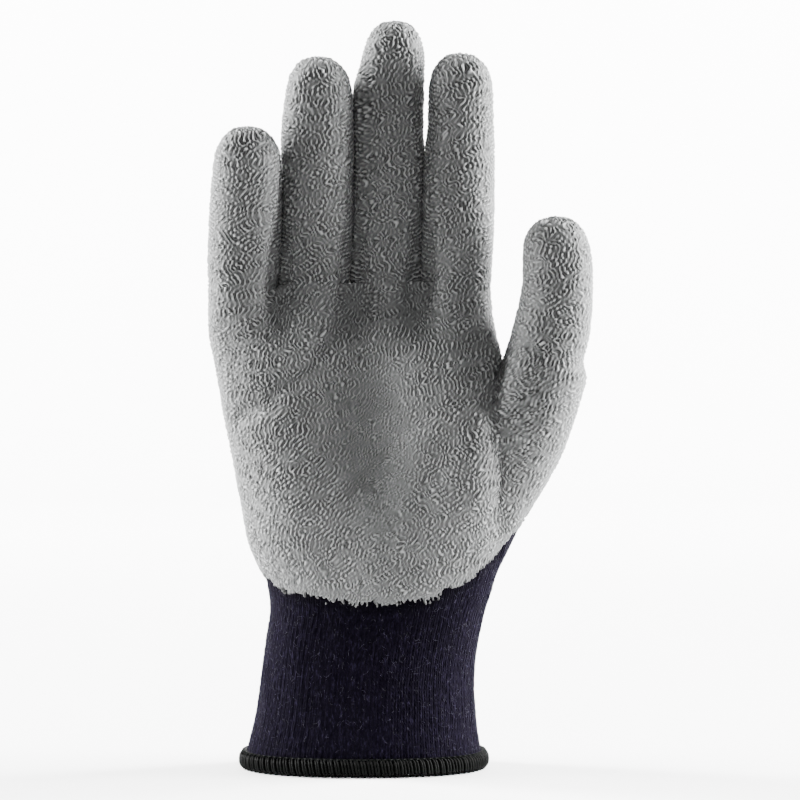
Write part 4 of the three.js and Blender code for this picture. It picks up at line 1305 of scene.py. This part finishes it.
# Steps along each tube and sides round it, where a looper has its steps in each stitch
BAND_STEPS, BAND_SIDES = 360, 20
STRAND_STEPS, STRAND_SIDES = 16, 6
LOOPER_STEPS, LOOPER_SIDES = 8, 5
BAND_LIFT = -0.3 * MM
STRAND_TURN = (104, -150)  # degrees round the hem's section, from one end of a strand to the other
STRAND_LEAN = (-1.0, 1.3)  # millimetres along the hem, from one end to the other
PAIR_SHARE = 0.42  # of a stitch, from its first strand to its second
LOOPER_RADIUS = 0.22 * MM
LOOPER_WEAVE = 0.4 * MM
# Two looper threads: degrees round the section and their swing, lift in millimetres and its swing
LOOPERS = [(76, -12, 0.5, 0.1), (-86, 16, 0.45, 0.15)]


class GLOVE_OT_hem(Operator):
    """Bind the mouth with an overlocked hem"""

    bl_idname = "glove.hem"
    bl_label = "Overlocked hem"

    def execute(self, context):
        sizes = context.scene.glove_hem
        curve = mouth_curve()
        length = curve[2][-1]
        s = np.arange(BAND_STEPS) / BAND_STEPS * length
        angle = TAU * np.arange(BAND_SIDES) / BAND_SIDES
        body = hem_spot(curve, s[:, None] + 0 * angle, angle + 0 * s[:, None], BAND_LIFT)
        quads = tube_faces(1, BAND_STEPS, BAND_SIDES, True)
        obj = new_mesh("glove_hem_band", body.reshape(-1, 3), quads)
        # The band takes the thread's colour at 0.15 of its brightness: painted shade in the gaps between the
        # strands.
        dark = thread_material(sizes, "overlock_band", 0.15)
        settle(obj, dark, "hem_thread", "cuff_hem")

        stitches = round(length / sizes.pitch)
        start = np.arange(stitches) / stitches * length
        rng = np.random.default_rng(8)
        strands = np.concatenate([start, start + PAIR_SHARE * length / stitches])
        strands += rng.normal(0, 0.07 * MM, 2 * stitches)
        turn = np.radians(np.linspace(*STRAND_TURN, STRAND_STEPS))
        lean = np.linspace(*STRAND_LEAN, STRAND_STEPS) * MM
        puff = (0.12 + 0.1 * np.sin(np.linspace(0, np.pi, STRAND_STEPS))) * MM
        along = strands[:, None] + lean
        paths = hem_spot(curve, along, turn + 0 * along, puff + 0 * along)
        thick = sizes.thread * (0.75 + 0.25 * np.sin(np.linspace(0.25, np.pi - 0.25, STRAND_STEPS)))
        thick = thick * rng.uniform(0.85, 1.1, (2 * stitches, 1))
        obj = tube_piece("glove_hem_strands", paths, thick, STRAND_SIDES)
        settle(obj, thread_material(sizes, "overlock_thread", 1.0), "hem_thread", "cuff_hem")

        steps = LOOPER_STEPS * stitches
        s = np.arange(steps) / steps * length
        wave = np.sin(TAU * stitches * s / length)
        ripple = np.cos(TAU * stitches * s / length)
        weave = s + LOOPER_WEAVE * ripple
        paths = [
            hem_spot(curve, weave, np.radians(at + swing * wave), (lift + puff * wave) * MM)
            for at, swing, lift, puff in LOOPERS
        ]
        obj = tube_piece("glove_hem_loopers", np.stack(paths), LOOPER_RADIUS, LOOPER_SIDES, True)
        settle(obj, thread_material(sizes, "looper_thread", 2.6), "hem_thread", "cuff_hem")
        return {"FINISHED"}


HAIR_RADIUS = 0.032 * MM
HAIR_STEPS, HAIR_SIDES = 3, 3
HAIR_MARGINS = {"coat": 0.5 * MM, "mouth": 4 * MM}  # which the fibres keep clear of


class GLOVE_OT_hairs(Operator):
    """Raise loose fibres on the bare knit"""

    bl_idname = "glove.hairs"
    bl_label = "Loose fibres"

    def execute(self, context):
        sizes = context.scene.glove_knit
        if not sizes.hairs:
            return {"FINISHED"}
        rng = np.random.default_rng(21)
        data = SURFACE.data
        clear = (coated(data) < -HAIR_MARGINS["coat"]) & (data[:, 2] > MOUTH_Z + HAIR_MARGINS["mouth"])
        bare = data[clear]
        root = bare[rng.integers(0, len(bare), sizes.hairs)]
        out = unit(root[:, 5:8])
        side = unit(np.cross(out, rng.normal(size=out.shape) * [1, 1, 0.35]))
        bend = unit(np.cross(out, side))
        long = sizes.hair_length * rng.uniform(0.3, 1, (sizes.hairs, 1)) ** 1.5
        lie = rng.uniform(0.0, 0.6, (sizes.hairs, 1)) ** 1.5
        curl = bend * rng.normal(0, 0.5, (sizes.hairs, 1))
        t = np.linspace(0, 1, HAIR_STEPS)[None, :, None]
        reach = (side * (1 - lie) + out * lie)[:, None] * t + curl[:, None] * t * t
        paths = root[:, None, :3] + reach * long[:, None] + out[:, None] * 0.1 * MM
        obj = tube_piece("glove_loose_fibres", paths, HAIR_RADIUS * (1 - 0.5 * t[..., 0]), HAIR_SIDES)
        finish = Finish("loose_fibre")
        tone = finish.noise(200.0, 1.0)
        colour = finish.mixed(tone.step(0.35, 0.65), (0.003, 0.002, 0.007), (0.02, 0.015, 0.036))
        material = finish.surface(Base_Color=colour, Roughness=0.8)
        settle(obj, material, "hand_knit")
        return {"FINISHED"}


PICTURE_CENTRE = (0.0112, 0.0, 0.1208)
# The floor, which bends up into the wall behind, in metres
FLOOR = {"front": -0.12, "reach": 3.0, "rise": 2.6, "width": 8.0, "drop": 0.4 * MM}


class GLOVE_OT_stage(Operator):
    """Set the pale floor, the soft lights and the camera"""

    bl_idname = "glove.stage"
    bl_label = "Stage"

    def execute(self, context):
        sizes = context.scene.glove_stage
        scene = context.scene
        centre = Vector(PICTURE_CENTRE)
        bend = np.linspace(0, np.pi / 2, 24)
        y = np.concatenate([[FLOOR["front"]], FLOOR["reach"] - 1 + np.sin(bend), [FLOOR["reach"]]])
        z = np.concatenate([[0.0], 1 - np.cos(bend), [FLOOR["rise"]]])
        x = FLOOR["width"] / 2 * np.array([-1, 1])
        points = spot(x[:, None], y, z - FLOOR["drop"])
        ids = np.arange(points[..., 0].size).reshape(2, -1)
        quads = np.stack([ids[0, :-1], ids[1, :-1], ids[1, 1:], ids[0, 1:]], -1)
        floor = new_mesh("stage_floor", points.reshape(-1, 3), [quads])
        finish = Finish("pale_floor")
        tone = finish.mixed(finish.noise(3.0, 2.0), (0.86, 0.86, 0.86), (0.9, 0.9, 0.9))
        floor.data.materials.append(finish.surface(Base_Color=tone, Roughness=0.9))

        wall = Vector((0.0, FLOOR["reach"], 1.0))
        for name, place, target, size, power in [
            ("left_softbox", (-0.8, -0.01, 0.2), centre, (0.25, 0.7), sizes.left_power),
            ("right_softbox", (0.8, -0.01, 0.2), centre, (0.25, 0.7), sizes.right_power),
            ("front_softbox", (0.0, -0.9, 0.7), centre, (0.8, 0.4), sizes.front_power),
            ("left_wall_light", (-1.9, 0.7, 1.7), wall, (1.2, 1.2), sizes.wall_power),
            ("right_wall_light", (1.9, 0.7, 1.7), wall, (1.2, 1.2), sizes.wall_power),
        ]:
            light = bpy.data.lights.new(name, "AREA")
            light.shape = "RECTANGLE"
            light.size, light.size_y = size
            light.energy = power
            light.spread = np.radians(110 if target is centre else 180)
            obj = bpy.data.objects.new(name, light)
            obj.location = place
            obj.rotation_euler = (target - obj.location).to_track_quat("-Z", "Y").to_euler()
            scene.collection.objects.link(obj)

        world = bpy.data.worlds.new("soft_room")
        world.use_nodes = True
        background = world.node_tree.nodes["Background"]
        background.inputs["Color"].default_value = (1, 1, 1, 1)
        background.inputs["Strength"].default_value = sizes.fill
        scene.world = world

        lens = bpy.data.cameras.new("photo_camera")
        lens.sensor_width = 36
        lens.lens = lens.sensor_width * sizes.camera_distance / sizes.view_width
        lens.clip_start = 0.01
        camera = bpy.data.objects.new("photo_camera", lens)
        camera.location = centre + Vector((0, -sizes.camera_distance, 0))
        camera.rotation_euler = (np.pi / 2, 0, 0)
        scene.collection.objects.link(camera)
        scene.camera = camera
        return {"FINISHED"}


class GLOVE_PT_panel(Panel):
    """Lists the glove's pieces and their sizes"""

    bl_idname = "GLOVE_PT_panel"
    bl_label = "Coated glove"
    bl_space_type = "VIEW_3D"
    bl_region_type = "UI"
    bl_category = "Glove"

    def draw(self, context):
        layout = self.layout
        for operator, group in STEPS:
            layout.operator(operator)
            for name in getattr(context.scene, group).__annotations__:
                layout.prop(getattr(context.scene, group), name)


GROUPS = {
    "glove_knit": KnitSizes,
    "glove_latex": LatexSizes,
    "glove_hem": HemSizes,
    "glove_stage": StageSizes,
}
STEPS = [
    ("glove.stage", "glove_stage"),
    ("glove.knit", "glove_knit"),
    ("glove.latex", "glove_latex"),
    ("glove.hem", "glove_hem"),
    ("glove.hairs", "glove_knit"),
]
CLASSES = [
    *GROUPS.values(),
    GLOVE_OT_stage,
    GLOVE_OT_knit,
    GLOVE_OT_latex,
    GLOVE_OT_hem,
    GLOVE_OT_hairs,
    GLOVE_PT_panel,
]


def register():
    for cls in CLASSES:
        bpy.utils.register_class(cls)
    for name, group in GROUPS.items():
        setattr(bpy.types.Scene, name, PointerProperty(type=group))


def unregister():
    for name in GROUPS:
        delattr(bpy.types.Scene, name)
    for cls in reversed(CLASSES):
        bpy.utils.unregister_class(cls)


def main():
    register()
    bpy.ops.glove.stage()
    bpy.ops.glove.knit()
    bpy.ops.glove.latex()
    bpy.ops.glove.hem()
    bpy.ops.glove.hairs()


if __name__ == "__main__":
    main()
